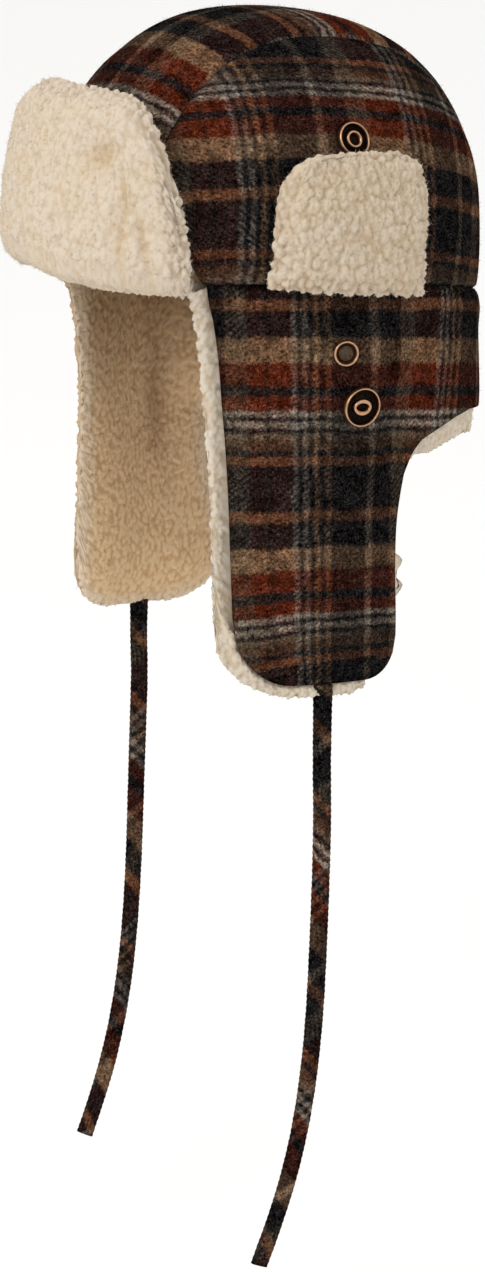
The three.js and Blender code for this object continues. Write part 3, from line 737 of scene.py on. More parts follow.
# Where the check falls on each panel: cloth millimetres at that panel's own zero.
STRIP_CHECK, STRIP_TURN_ZERO = (30.0, 74.7), 43.5
MM_PER_DEGREE = 2.1  # along the strip, from one degree of turn to the next
SIDE_CHECK, SIDE_CHECK_AT, SIDE_CHECK_RIGHT = (2.0, -16.3), -51.0, 31.0
SIDE_EASE, SIDE_EASE_FROM = 0.2, 62.0
SKIRT_CHECK, SKIRT_CHECK_RIGHT = (-1.6, 16.0), 37
BACKING_CHECK, TAB_CHECK = (12.0, 40.0), (30, 50)


def strip_reach(turn):
    """Half the strip's width, less half a seam."""
    return np.interp(turn, STRIP_TURN, STRIP_HALF) - SEAM / 2


def strip_end(u, at_front):
    """The turn at which the strip meets the band seam."""
    turn = np.full_like(u, 0.0 if at_front else 180.0)
    for _ in range(12):
        p = crown_across(u * strip_reach(turn), turn)
        low = BAND_ARCH * np.abs(p[..., 0] / HALF_WIDTH) ** PLAN_POWER + SEAM / 2
        low = low + (FRONT_RISE if at_front else 0)
        lift = np.degrees(np.arctan2(low, np.abs(p[..., 1])))
        turn = lift if at_front else 180 - lift
    return turn


STRIP_NET, SIDE_NET = (49, 191), (131, 57)  # points across and along each panel


def crown_center():
    """The plaid strip over the crown, from the band at the front to the band at the back."""
    u = np.linspace(-1, 1, STRIP_NET[0])
    t = np.linspace(0, 1, STRIP_NET[1])[:, None]
    front, back = strip_end(u, True), strip_end(u, False)
    turn = mix(front[None], back[None], t)
    joined = net([np.stack(np.broadcast_arrays(u[None], turn), -1)])

    def guide(u_, turn_):
        return crown_across(u_ * strip_reach(turn_), turn_)

    uu, tt = joined[0][:, 0], joined[0][:, 1]
    p = guide(uu, tt)
    turns = np.linspace(0, 180, 361)
    length = arc_from(crown_across(0.7 * strip_reach(turns), turns), 0)
    along = np.interp(tt, turns, length) - np.interp(STRIP_TURN_ZERO, turns, length)
    edge = (1 - np.abs(uu)) * strip_reach(tt)
    ends = np.minimum(tt - np.interp(uu, u, front), np.interp(uu, u, back) - tt) * MM_PER_DEGREE
    drawn = seam_roll(edge) + seam_roll(np.maximum(0, ends))
    wavy = 0.8 * ripple(p, 45, 3.0) + 0.35 * ripple(p, 14, 7.0) * np.exp(-edge / 14)
    cloth = np.stack([STRIP_CHECK[0] + p[:, 0], STRIP_CHECK[1] - along, 0 * along], -1)
    points, faces, values = shell(joined, guide, -WOOL, wavy - drawn, 0.02, extra={"cloth": cloth})
    values["rim"] *= 0  # sewn all round, so no cut edge shows
    return make_mesh("crown_center_cloth", points, faces, values)


SIDE_SEAM_FRONT, SIDE_SEAM_BACK = 6.5, 178.2  # degrees of turn where the panel's seam ends


def ring_arc():
    """Length round the band against hat-level y, from the front to the back of the left side."""
    angle = np.linspace(-89, 89, 357)
    ring = crown_round(angle, 0 * angle)
    return ring[:, 1], arc_from(ring, 0)


def crown_side(side_name):
    """A plaid side panel, from its seam with the strip down to the band."""

    def seam(t):
        turn = mix(SIDE_SEAM_FRONT, SIDE_SEAM_BACK, t)
        return crown_across(np.interp(turn, STRIP_TURN, STRIP_HALF) + SEAM / 2, turn)

    def band_angle(p):
        power = PLAN_POWER / 2
        c = np.abs(p[0] / HALF_WIDTH) ** power
        s = np.sign(p[1]) * np.abs(p[1] / HALF_LENGTH) ** power
        return math.degrees(math.atan2(s, c))

    front, back = band_angle(seam(np.array(0.0))), band_angle(seam(np.array(1.0)))

    def guide(t, v):
        angle = mix(front, back, t)
        low = crown_round(angle, band_seam(angle) + SEAM / 2)
        return on_crown(mix(seam(t), low, v[..., None]))

    # the panel's points at front and back are left a hair blunt
    t, v = np.meshgrid(np.linspace(0.012, 0.988, SIDE_NET[0]), np.linspace(0, 1, SIDE_NET[1]))
    grid = guide(t, v)
    down = arc_from(grid, 0)
    up = down[-1:] - down
    edge = np.minimum(down, up)
    ys, lengths = ring_arc()
    across = np.interp(grid[..., 1], ys, lengths) - np.interp(SIDE_CHECK_AT, ys, lengths)
    # the cloth is eased where the panel domes in, so its check closes up towards the strip
    eased = up + SIDE_EASE * np.maximum(0, up - SIDE_EASE_FROM)
    cloth = np.stack([SIDE_CHECK[0] + across, SIDE_CHECK[1] + eased, 0 * up], -1).reshape(-1, 3)
    if side_name == "right":
        cloth = cloth + np.array([SIDE_CHECK_RIGHT, 0.0, 0.0])
    wavy = 0.9 * ripple(grid, 45, 11.0 if side_name == "left" else 17.0)
    wavy = wavy + 0.4 * ripple(grid, 13, 5.0) * np.exp(-edge / 14)
    uv = np.stack([t, v], -1)
    joined = net([uv])
    order = {tuple(k): i for i, k in enumerate(np.round(uv.reshape(-1, 2), 5))}
    pick = np.array([order[tuple(k)] for k in joined[0]])
    face = (wavy - seam_roll(edge)).reshape(-1)[pick]
    # this guide's normal points in, so the shown face lies at minus the height
    points, faces, values = shell(joined, guide, WOOL, -face, 0.004, extra={"cloth": cloth[pick]})
    values["rim"] *= 0
    return make_mesh(f"crown_side_cloth_{side_name}", *for_side(side_name, points, faces, values))


# ---------------------------------------------------------------- skirt

# Lengths of cloth in millimetres, which set how fine the net is, and its points per millimetre.
FLAP_WIDE, NECK_TURN_WIDE, NECK_WIDE, BAND_DEEP, FLAP_DEEP = 118, 30, 110, 80, 112
WOOL_NET, LINING_NET = 0.42, 0.31


def half(along):
    """The same place on the left half; along runs on from 4 to 8 down the right one."""
    return np.where(along > 4, 8 - along, along)


ALONG_MM = 48.0  # cloth from the front edge of a flap to its middle, near the bottom
# how far the right flap's front edge falls back towards its lower corner: the wool, then the pile
WOOL_BACK, PILE_BACK = 3.4, 1.8


def near_front(a):
    """1 at the front edge of a flap, fading to 0 before its middle."""
    return 1 - smooth(a / 0.6)


def fall_back(a, z):
    """Share of that falling back, by place along the flap and height."""
    return smooth((-105 - z) / 60) * near_front(a)


def skirt_guide(along, z):
    """The wool's face all round, with the right flap's front edge falling back."""
    a = half(along)
    p = skirt_at(np.where(along > 4, a + WOOL_BACK / ALONG_MM * fall_back(a, z), a), z)
    p[..., 0] *= np.where(along > 4, -1, 1)
    return p


def skirt_blocks(over, top, per_mm, sides=("left", "right")):
    """Net blocks of the skirt: the band, and a flap under it on each side."""

    def parts(length):
        return int(length * per_mm) + 1

    flap = np.linspace(0, 2, parts(FLAP_WIDE))
    turn = np.linspace(2, 2.3, parts(NECK_TURN_WIDE))[1:]
    neck = np.linspace(2.3, 4, parts(NECK_WIDE))[1:]
    left = np.concatenate([flap, turn, neck])
    right = 8 - left[::-1]
    if sides == ("left",):
        whole = left
    elif sides == ("right",):
        whole = right
    else:
        whole = np.concatenate([left, right[1:]])

    def waist(a):
        return neck_edge(np.maximum(2.0, half(a)), over["neck"])

    levels = np.linspace(0, 1, parts(BAND_DEEP))[:, None]
    a = whole[None]
    blocks = [np.stack(np.broadcast_arrays(a, mix(top(a), waist(a), levels)), -1)]
    drops = np.linspace(0, 1, parts(FLAP_DEEP))[:, None]
    for side_name, mask in (("left", whole <= 2), ("right", whole >= 6)):
        a = whole[mask][None]
        if a.size:
            low = flap_bottom(half(a), over["bottom"], side_name)
            blocks.append(np.stack(np.broadcast_arrays(a, mix(waist(a), low, drops)), -1))
    return blocks


# Where the navy block of the check starts, as length of cloth from the front edge, by height.
SKIRT_COLUMN_Z = [-190, -150, -100, -30, 12]
SKIRT_COLUMN = [51.8, 48.1, 47.1, 50.6, 56.4]


def skirt_lengths(points):
    """Length of cloth from the front edge at each (along, height) of the net."""
    columns, rows, low_z, high_z = 160, 41, -192, 14
    a_grid = np.linspace(0, 4, columns + 1)
    z_grid = np.linspace(low_z, high_z, rows + 1)
    table = np.stack([arc_from(skirt_at(a_grid, z + 0 * a_grid), 0) for z in z_grid])
    a, z = half(points[:, 0]), points[:, 1]
    fa, fz = a / 4 * columns, (z - low_z) / (high_z - low_z) * rows
    ia, iz = np.clip(fa.astype(int), 0, columns - 1), np.clip(fz.astype(int), 0, rows - 1)
    ta, tz = fa - ia, fz - iz
    low = mix(table[iz, ia], table[iz, ia + 1], ta)
    high = mix(table[iz + 1, ia], table[iz + 1, ia + 1], ta)
    return mix(low, high, tz)


def make_skirt():
    """The plaid skirt: band, ear flaps and neck in one cut."""
    blocks = skirt_blocks({"bottom": 0, "neck": 0}, lambda a: skirt_top(half(a)) - SEAM, WOOL_NET)
    joined = net(blocks)
    a, z = joined[0][:, 0], joined[0][:, 1]
    p = skirt_guide(a, z)
    under = skirt_top(half(a)) - SEAM - z
    across = skirt_lengths(joined[0]) - np.interp(z, SKIRT_COLUMN_Z, SKIRT_COLUMN)
    across = np.where(a > 4, across + SKIRT_CHECK_RIGHT, across)
    cloth = np.stack([SKIRT_CHECK[0] + across, SKIRT_CHECK[1] + under, 0 * under], -1)
    roll = 0.9 * np.exp(-(((under - 9) / 7) ** 2))
    wavy = 0.9 * ripple(p, 50, 23.0) + 0.35 * ripple(p, 15, 29.0) * np.exp(-under / 16)
    face = wavy + roll - seam_roll(under)
    extra = {"cloth": cloth, "under": under}
    points, faces, values = shell(joined, skirt_guide, -WOOL, face, 0.01, rings=1, bulge=0.12, extra=extra)
    # the cut edge shows only where nothing is sewn to it
    from_seam = values.pop("under")
    values["rim"] *= from_seam > 3
    return make_mesh("skirt_cloth", points, faces, values)


# ---------------------------------------------------------------- pile


def strand(name, path, width):
    """One three-sided, tapering strand along a list of points."""
    points, faces = [], []
    path = [Vector(p) for p in path]
    across = Vector((0, 1, 0))
    for i, p in enumerate(path[:-1]):
        ahead = (path[i + 1] - p).normalized()
        side = ahead.cross(across).normalized()
        r = width / 2 * (1 - 0.6 * i / (len(path) - 1))
        for k in range(3):
            a = 2 * math.pi * k / 3
            points.append(p + side * (r * math.cos(a)) + across * (r * math.sin(a)))
    tip = len(points)
    points.append(path[-1])
    rings = len(path) - 1
    for i in range(rings - 1):
        for k in range(3):
            a, b = 3 * i + k, 3 * i + (k + 1) % 3
            faces.append((a, b, b + 3, a + 3))
    last = 3 * (rings - 1)
    faces += [(last + k, last + (k + 1) % 3, tip) for k in range(3)]
    faces.append((2, 1, 0))
    mesh = bpy.data.meshes.new(name)
    mesh.from_pydata([tuple(p) for p in points], [], faces)
    turn_outwards(mesh)
    mesh.shade_smooth()
    made = in_scene(name, mesh)
    made.hide_render = True
    return made


def fibre_path(length, bend):
    """Three points of a fibre that leans over as it rises, from just under the pile's face."""
    return [(bend * t * t * length, 0, t * length) for t in (-0.15, 0.45, 1.0)]


def pile_tree():
    """Nodes that raise a shell's shown face into curls, and set loose fibres in it."""
    tree = bpy.data.node_groups.new("pile", "GeometryNodeTree")
    face = tree.interface
    face.new_socket("Geometry", in_out="OUTPUT", socket_type="NodeSocketGeometry")
    face.new_socket("Geometry", in_out="INPUT", socket_type="NodeSocketGeometry")
    for name, value in (
        ("Curl Size", 0.0032),
        ("Curl Height", 0.0012),
        ("Curl Twist", 0.0012),
        ("Fine Height", 0.0004),
        ("Edge Tufts", 0.0),
        ("Fibres per m2", 20000.0),
        ("Fibres all over", 0.0),
        ("Fibre Scale", 1.0),
    ):
        socket = face.new_socket(name, in_out="INPUT", socket_type="NodeSocketFloat")
        socket.default_value = value
    face.new_socket("Fibre", in_out="INPUT", socket_type="NodeSocketObject")
    face.new_socket("Finish", in_out="INPUT", socket_type="NodeSocketMaterial")
    given = node(tree, "NodeGroupInput")
    place = node(tree, "GeometryNodeInputPosition")[0]
    normal = node(tree, "GeometryNodeInputNormal")[0]
    pile = node(tree, READ_POINT, {"Name": "pile"}, data_type="FLOAT")[0]
    fringe = node(tree, READ_POINT, {"Name": "fringe"}, data_type="FLOAT")[0]
    # curls: soft domes on a net of cells, bent by a swirl nearly twice as wide as a curl
    grain = node(tree, MATH, {0: 1.0, 1: given["Curl Size"]}, operation="DIVIDE")[0]
    swirl = node(tree, MATH, {0: grain, 1: 0.55}, operation="MULTIPLY")
    swirl = node(tree, NOISE, {"Vector": place, "Scale": swirl[0], "Detail": 1.0})
    twist = node(tree, MATH, {0: given["Curl Twist"], 1: 4.0}, operation="MULTIPLY")
    pushed = node(tree, VECTOR, {0: swirl["Color"], 1: MIDDLE_GREY}, operation="SUBTRACT")
    pushed = node(tree, VECTOR, {0: pushed[0], "Scale": twist[0]}, operation="SCALE")
    bent = node(tree, VECTOR, {0: place, 1: pushed[0]}, operation="ADD")
    # the pile hangs, so its curls are longer than they are wide
    bent = node(tree, VECTOR, {0: bent[0], 1: (1.0, 1.0, 0.7)}, operation="MULTIPLY")[0]
    cells = {"Vector": bent, "Scale": grain, "Smoothness": 0.25}
    away = node(tree, "ShaderNodeTexVoronoi", cells, feature="SMOOTH_F1")["Distance"]
    square = node(tree, MATH, {0: away, 1: away}, operation="MULTIPLY")
    fall = node(tree, MATH, {0: square[0], 1: 1.9}, operation="MULTIPLY")
    dome = node(tree, MATH, {0: 1.0, 1: fall[0]}, operation="SUBTRACT", use_clamp=True)[0]
    # tufts over the curls, two and a half times finer
    fine = node(tree, MATH, {0: grain, 1: 2.6}, operation="MULTIPLY")
    fine = node(tree, NOISE, {"Vector": bent, "Scale": fine[0], "Detail": 2.0})
    fine = node(tree, MATH, {0: fine["Fac"], 1: 0.5}, operation="SUBTRACT")[0]
    fine_height = node(tree, MATH, {0: given["Fine Height"], 1: 3.0}, operation="MULTIPLY")
    fine_part = node(tree, MATH, {0: fine, 1: fine_height[0]}, operation="MULTIPLY")
    # both stand higher at the fringe, and only the pile is raised
    tufted = node(tree, MATH, {0: fringe, 1: 2.0}, operation="POWER")
    tufted = node(tree, MATH, {0: tufted[0], 1: given["Edge Tufts"], 2: 1.0}, operation="MULTIPLY_ADD")
    curl_height = node(tree, MATH, {0: tufted[0], 1: given["Curl Height"]}, operation="MULTIPLY")
    curl_part = node(tree, MATH, {0: dome, 1: 0.55}, operation="SUBTRACT")
    curl_part = node(tree, MATH, {0: curl_part[0], 1: curl_height[0]}, operation="MULTIPLY")
    rise = node(tree, MATH, {0: curl_part[0], 1: fine_part[0]}, operation="ADD")
    rise = node(tree, MATH, {0: rise[0], 1: pile}, operation="MULTIPLY")
    offset = node(tree, VECTOR, {0: normal, "Scale": rise[0]}, operation="SCALE")
    # how deep each point lies is kept for its colour, which paints shade down in the valleys
    depth = node(tree, MATH, {0: fine, 1: 0.7}, operation="MULTIPLY")
    depth = node(tree, MATH, {0: dome, 1: depth[0]}, operation="ADD", use_clamp=True)
    kept = {"Geometry": given["Geometry"], "Value": depth[0], "Name": "height"}
    kept = node(tree, STORE, kept, data_type="FLOAT", domain="POINT")
    raised = node(tree, "GeometryNodeSetPosition", {"Geometry": kept[0], "Offset": offset[0]})[0]
    # loose fibres, each turned and scaled at random
    density = {0: fringe, 1: given["Fibres per m2"], 2: given["Fibres all over"]}
    density = node(tree, MATH, density, operation="MULTIPLY_ADD")
    on_pile = node(tree, MATH, {0: pile, 1: 1.6}, operation="MULTIPLY", use_clamp=True)
    density = node(tree, MATH, {0: density[0], 1: on_pile[0]}, operation="MULTIPLY")
    spots = {"Mesh": raised, "Density": density[0], "Seed": 4}
    spots = node(tree, "GeometryNodeDistributePointsOnFaces", spots)
    spin = {0: (-0.9, -0.9, -3.1), 1: (0.9, 0.9, 3.1), "Seed": 9}
    spin = node(tree, RANDOM, spin, data_type="FLOAT_VECTOR")
    turned = {"Rotation": spots["Rotation"], "Rotate By": spin[0]}
    turned = node(tree, "FunctionNodeRotateRotation", turned, rotation_space="LOCAL")
    size = node(tree, RANDOM, {2: 0.5, 3: 1.3, "Seed": 12}, data_type="FLOAT")
    size = node(tree, MATH, {0: size[1], 1: given["Fibre Scale"]}, operation="MULTIPLY")
    fibre = node(tree, "GeometryNodeObjectInfo", {"Object": given["Fibre"]})["Geometry"]
    placed = {"Points": spots[0], "Instance": fibre, "Rotation": turned[0], "Scale": size[0]}
    placed = node(tree, "GeometryNodeInstanceOnPoints", placed)
    paler = node(tree, RANDOM, {2: 0.35, 3: 1.1, "Seed": 21}, data_type="FLOAT")
    shaded = {"Geometry": placed[0], "Value": paler[1], "Name": "height"}
    shaded = node(tree, STORE, shaded, data_type="FLOAT", domain="INSTANCE")
    fibres = node(tree, REALIZE, {"Geometry": shaded[0]})
    joined = node(tree, "GeometryNodeJoinGeometry", {0: fibres[0]})[0]
    tree.links.new(raised, joined.node.inputs[0])
    whole = node(tree, REALIZE, {"Geometry": joined})
    finished = node(tree, "GeometryNodeSetMaterial", {"Geometry": whole[0], "Material": given["Finish"]})
    node(tree, "NodeGroupOutput", {0: finished[0]})
    return tree


PILE_TREE = pile_tree()
FIBRE = strand("fibre", fibre_path(0.0040, 0.5), 0.00045)
NAP = strand("nap", fibre_path(0.0012, 1.0), 0.00009)
CROWN_NAP, SKIRT_NAP = 90000.0, 80000.0  # strands to the square metre


def refine(piece, cuts):
    """Cuts the shown faces of a shell finer, and leaves the hidden face coarse."""
    work = bmesh.new()
    work.from_mesh(piece.data)
    pile = work.verts.layers.float["pile"]
    fine = {f for f in work.faces if all(v[pile] > 0.2 for v in f.verts)}
    edges = {e for f in fine for e in f.edges}
    bmesh.ops.subdivide_edges(work, edges=list(edges), cuts=cuts, use_grid_fill=True)
    work.to_mesh(piece.data)
    work.free()
    piece.data.shade_smooth()


def grow_pile(piece, look, strand_piece, **sizes):
    """Runs the pile nodes on a shell and keeps the result as its plain mesh."""
    modifier = piece.modifiers.new("pile", "NODES")
    modifier.node_group = PILE_TREE
    keys = {item.name: item.identifier for item in PILE_TREE.interface.items_tree if item.in_out == "INPUT"}
    for name, value in sizes.items():
        modifier[keys[name.replace("_", " ")]] = value
    modifier[keys["Fibre"]] = strand_piece
    modifier[keys["Finish"]] = look
    bpy.context.view_layer.update()
    view = bpy.context.evaluated_depsgraph_get()
    plain = bpy.data.meshes.new_from_object(piece.evaluated_get(view))
    piece.modifiers.remove(modifier)
    old = piece.data
    piece.data = plain
    bpy.data.meshes.remove(old)
    return piece


# ---------------------------------------------------------------- wool pieces with their nap


def raise_nap(piece, node_name, fibres):
    """Short brushed fibres all over a panel's face."""
    piece.data.attributes.new("fringe", "FLOAT", "POINT")
    grow_pile(piece, PLAID, NAP, Curl_Size=0.004, Curl_Height=0.0, Curl_Twist=0.0,
              Fine_Height=0.0, Fibres_per_m2=0.0, Fibres_all_over=fibres, Fibre_Scale=1.0)
    return finish_piece(piece, PLAID, node_name)


center = raise_nap(crown_center(), "crown_center_panel", CROWN_NAP)
for side_name in SIDES:
    side_panel = raise_nap(crown_side(side_name), f"crown_side_panel_{side_name}", CROWN_NAP)
skirt_cloth = raise_nap(make_skirt(), "skirt", SKIRT_NAP)

# ---------------------------------------------------------------- skirt lining

OVER_CLEAR = 2.5  # how far the pile stays below the band seam near the front edge
# How far it reaches past the wool at each edge.
OVER_FRONT = {"left": 9.0, "right": 3.6}
OVER_REAR = {"left": -0.6, "right": 7.5}
OVER_BOTTOM = {"left": 6.0, "right": 3.5}
OVER_NECK = 13.5
EDGE_AT = {"left": 0.135, "right": 0.057}  # where along the lining the wool's cut edge falls
EDGE_SHADE_TAN = {"left": 0.0, "right": 0.6}  # how far the painted tan shade reaches round the edge
TUFT_RISE, TUFT_AT = 10.0, (-139.0, -126.0)  # two tufts stand out at the left flap's rear
SPRING = 1.1  # how far free pile stands past the wool's own face
ROUND_OVER, LIP = 17.0, 0.8  # the right flap's pile rounds over to a thin lip at its edge


def make_lining(side_name):
    """Half of the skirt's sherpa lining, which stands out past the wool as a fringe."""
    over_front, over_rear = OVER_FRONT[side_name], OVER_REAR[side_name]
    over = {"bottom": OVER_BOTTOM[side_name], "neck": OVER_NECK}

    def spread(a, z):
        """How far the pile reaches past the wool, back being more."""
        rear = over_rear
        if side_name == "left":
            rear = rear + TUFT_RISE * sum(np.exp(-(((z - at) / 5.0) ** 2)) for at in TUFT_AT)
        wide = -over_front * near_front(a) + rear * smooth((a - 1.4) / 0.6)
        if side_name == "right":
            wide = wide + PILE_BACK * fall_back(a, z)
        return wide * (1 - smooth((a - 2) / 0.5))

    def guide(along, z):
        a = half(along)
        onward = skirt_at(a + 0.01, z) - skirt_at(a - 0.01, z)
        onward /= np.linalg.norm(onward, axis=-1)[..., None]
        p = skirt_at(a, z) + onward * spread(a, z)[..., None]
        p[..., 0] *= np.where(along > 4, -1, 1)
        return p

    def top(a):
        h = half(a)
        return skirt_top(h) - GAP - OVER_CLEAR * (1 - smooth((h - 0.25) / 0.4))

    joined = net(skirt_blocks(over, top, LINING_NET, (side_name,)))
    a, z = half(joined[0][:, 0]), joined[0][:, 1]
    on_flap = a <= 2
    low = np.where(on_flap, flap_bottom(a, over["bottom"], side_name), neck_edge(a, OVER_NECK))
    # past the cut edge of the wool the pile springs out level with the wool's own face
    edge_at = EDGE_AT[side_name]
    in_front = 1 - smooth((a / edge_at - 0.6) / 0.35)
    wool_a = np.maximum(0, a - over_front * near_front(a) / ALONG_MM)
    cut = np.where(on_flap, flap_bottom(wool_a, 0.0, side_name), neck_edge(a, 0.0))
    below = np.where(on_flap, 1 - smooth((z - cut + 2.5) / 2.5), 0.0)
    free = np.where(z > -2, in_front, np.maximum(in_front, below))
    loose = np.maximum(free, 1 - smooth((a / edge_at - 0.97) / 0.3))
    loose = np.maximum(loose, 1 - smooth((z - cut - 1.0) / 2.5))
    behind_wool = WOOL + GAP + 0.5 + 1.2 * (1 - smooth(a / 0.8))
    stand = mix(behind_wool, -SPRING, free)
    # painted shade: the tan of the pile inside the hat, and its fade to the pale free edges
    from_edge = np.minimum(a * 60.0, z - low)
    from_rear = np.hypot((2 - a) * 45.0, np.maximum(0, z - neck_edge(2.0, OVER_NECK)))
    from_edge = np.where(on_flap, np.minimum(from_edge, from_rear), from_edge)
    inside = smooth((from_edge + 5.0) / 15.0)
    fringe = 1 - 0.85 * smooth(from_edge / 14.0)
    # painted shade: the pile goes browner high up inside the flap and towards its rear, with a brown streak
    # behind the flap's middle
    rubbed = (0.4 + 0.5 * smooth((a - 0.6) / 0.9)) * smooth((z + 76 - 22 * (a - 1)) / 66)
    rubbed = inside * (rubbed + 0.5 * np.exp(-(((a - 1.38) / 0.19) ** 2) - (((z + 84) / 30) ** 2)))
    # painted shade: on the right lining the tan reaches round the edge onto the hidden face
    outside = EDGE_SHADE_TAN[side_name] * (1 - smooth((a - 2) / 0.8))
    extra = {"inside": (outside, inside), "fringe": fringe, "worn": (0 * rubbed, rubbed)}
    # the pile thins to a rounded edge
    thick = PILE * mix(0.28, 1.0, smooth(from_edge / 34.0) ** 0.8)
    inner = -behind_wool - thick
    if side_name == "right":
        turned = np.sqrt(1 - (1 - np.clip(from_edge / ROUND_OVER, 0, 1)) ** 2)
        inner = mix(-LIP, inner, turned)
    made = shell(joined, guide, -stand, inner, 0.01, rings=4, bulge=0.3, extra=extra, back_pile=loose)
    piece = make_mesh(f"lining_{side_name}", *made)
    refine(piece, 3)
    grow_pile(piece, LINING, FIBRE, Curl_Size=0.0024, Curl_Height=0.0008, Curl_Twist=0.0004,
              Fine_Height=0.0007, Edge_Tufts=0.6, Fibres_per_m2=55000.0, Fibre_Scale=0.45)
    finish_piece(piece, LINING, "skirt_lining")


for side_name in SIDES:
    make_lining(side_name)


# ---------------------------------------------------------------- front flap

FRONT_HEIGHT, FRONT_END, FRONT_LEAN = 72.0, 40.7, 10.0
FRONT_CORNER, FRONT_INSIDE, FRONT_PILE = 36.0, 7.0, 12.0
FRONT_CORNER_REACH = {"left": 0.42, "right": 0.6}
STAND_UP, STAND_OFF = [0, 20, 45, 72], [1, 2.5, 6, 14]
# How much of its thickness the pile keeps round the fold, from the right end to the left.
FOLD_PLACE = [-1, -0.85, -0.65, -0.4, -0.2, 0.1, 0.4, 1]
FOLD_SHARE = [1.15, 1.1, 0.8, 0.55, 0.52, 0.66, 0.6, 0.25]
OUTSIDE = WOOL + 5 * GAP
FOLD_OUT = OUTSIDE + STAND_OFF[0]
FOLD_RADIUS = (FOLD_OUT + WOOL + 7 * GAP) / 2
FOLD = math.pi * FOLD_RADIUS
# Upright creases: where along, how far each leans, how high its middle lies, how deep it is.
FRONT_CREASES = ((0.66, 0.05, 26, 1.4), (0.77, -0.12, 14, 1.3), (0.6, -0.1, 9, 0.9))


def front_height(u):
    """Height of the front flap above its fold, by place from its right end (-1) to its left (1)."""
    reach = np.where(u > 0, FRONT_CORNER_REACH["left"], FRONT_CORNER_REACH["right"])
    return FRONT_HEIGHT - FRONT_CORNER * quarter_round((1 - np.abs(u)) / reach)


def front_wall(u, up, off):
    """A place over the crown's front, so high above the band and so far off its face."""
    angle = -90 + u * (FRONT_END - FRONT_LEAN * smooth(up / FRONT_HEIGHT))
    p = crown_round(angle, FRONT_RISE + np.maximum(0, up))
    level = p * np.array([1.0, 1.0, 0.0])
    level /= np.linalg.norm(level, axis=-1)[..., None]
    p = p + level * np.asarray(off)[..., None]
    p[..., 2] = FRONT_RISE + up
    return p


def front_guide(u, v):
    """Inside the hat (v below 0), round the fold, and up the outside."""
    up = np.maximum(0, v - FOLD)
    outer = front_wall(u, up, OUTSIDE + through(STAND_UP, STAND_OFF, up))
    middle = FOLD_OUT - FOLD_RADIUS
    inner = front_wall(u, np.maximum(0, -v), middle - FOLD_RADIUS + 0 * v)
    a = np.clip(v, 0, FOLD) / FOLD_RADIUS
    fold = front_wall(u, -FOLD_RADIUS * np.sin(a), middle - FOLD_RADIUS * np.cos(a))
    return np.where((v > FOLD)[..., None], outer, np.where((v < 0)[..., None], inner, fold))


def make_front_flap():
    """The turned-up front flap's sherpa, from inside the hat round the fold and up the outside."""
    left_end = np.linspace(-1, -0.9, 5)[:-1]
    u = np.concatenate([left_end, np.linspace(-0.9, 0.9, 58), np.linspace(0.9, 1, 5)[1:]])
    steps = np.concatenate([np.linspace(-FRONT_INSIDE, 0, 4)[:-1], np.linspace(0, FOLD, 6)])
    rises = np.linspace(0, 1, 33)[1:]
    low = np.stack(np.broadcast_arrays(u[None], steps[:, None]), -1)
    high = np.stack(np.broadcast_arrays(u[None], FOLD + rises[:, None] * front_height(u)[None]), -1)
    joined = net([np.concatenate([low, high])])
    uu, vv = joined[0][:, 0], joined[0][:, 1]
    up = (vv - FOLD) / front_height(uu)
    thin = 1 - 0.45 * smooth((up - 0.86) / 0.14) ** 2 - 0.3 * smooth((np.abs(uu) - 0.9) / 0.1)
    fold_pile = through(FOLD_PLACE, FOLD_SHARE, uu)
    pile = FRONT_PILE * np.minimum(thin, mix(fold_pile, 1, smooth((vv - 0.3 * FOLD) / 14)))
    p = front_guide(uu, vv)
    pile = pile + 0.9 * ripple(p, 24, 41.0) + 0.5 * ripple(p, 9, 43.0)
    # a soft dimple beside the middle, and upright creases near the left end
    dimple = np.exp(-(((uu - 0.5) / 0.13) ** 2) - (((vv - FOLD - 47 - 22 * (uu - 0.5)) / 5.5) ** 2))
    creases = sum(
        depth * np.exp(-(((uu - at - lean * (vv - FOLD - 20) / 60) / 0.022) ** 2))
        * np.exp(-(((vv - FOLD - height) / 15) ** 2))
        for at, lean, height, depth in FRONT_CREASES
    )
    pile = pile - 4.5 * dimple - 1.7 * creases
    fringe = np.maximum(smooth((np.abs(uu) - 0.88) / 0.1), smooth((up - 0.9) / 0.1)) * 0.9 + 0.1
    # painted shade: the pile goes brown down in the dimple and the creases
    extra = {"fringe": fringe, "worn": 0.5 * dimple + 0.35 * np.clip(creases, 0, 1)}
    border = np.maximum(smooth((np.abs(uu) - 0.84) / 0.06), smooth((up - 0.87) / 0.06))
    made = shell(joined, front_guide, 0, pile, 0.01, rings=4, bulge=0.3, extra=extra, back_pile=0.8 * border)
    piece = make_mesh("front_flap_pile", *made)
    refine(piece, 2)
    grow_pile(piece, SHERPA, FIBRE, Curl_Size=0.0028, Curl_Height=0.0005, Curl_Twist=0.0009,
              Fine_Height=0.0008, Edge_Tufts=4.0, Fibres_per_m2=245000.0,
              Fibres_all_over=145000.0, Fibre_Scale=0.4)
    finish_piece(piece, SHERPA, "front_flap")


def make_front_backing():
    """The front flap's plaid side, between its pile and the crown."""
    u = np.linspace(-0.97, 0.97, 61)
    rises = np.linspace(0.03, 0.97, 25)
    joined = net([np.stack(np.broadcast_arrays(u[None], rises[:, None] * front_height(u)[None]), -1)])

    def guide(u_, up):
        return front_wall(u_, up, 2 * GAP + through(STAND_UP, STAND_OFF, up))

    p = guide(joined[0][:, 0], joined[0][:, 1])
    cloth = np.stack([BACKING_CHECK[0] + p[:, 0], BACKING_CHECK[1] + joined[0][:, 1], 0 * p[:, 0]], -1)
    piece = make_mesh("front_flap_back_cloth", *shell(joined, guide, 0.0, WOOL, 0.01, extra={"cloth": cloth}))
    finish_piece(piece, PLAID, "front_flap_backing")


make_front_flap()
make_front_backing()

# ---------------------------------------------------------------- ear tabs

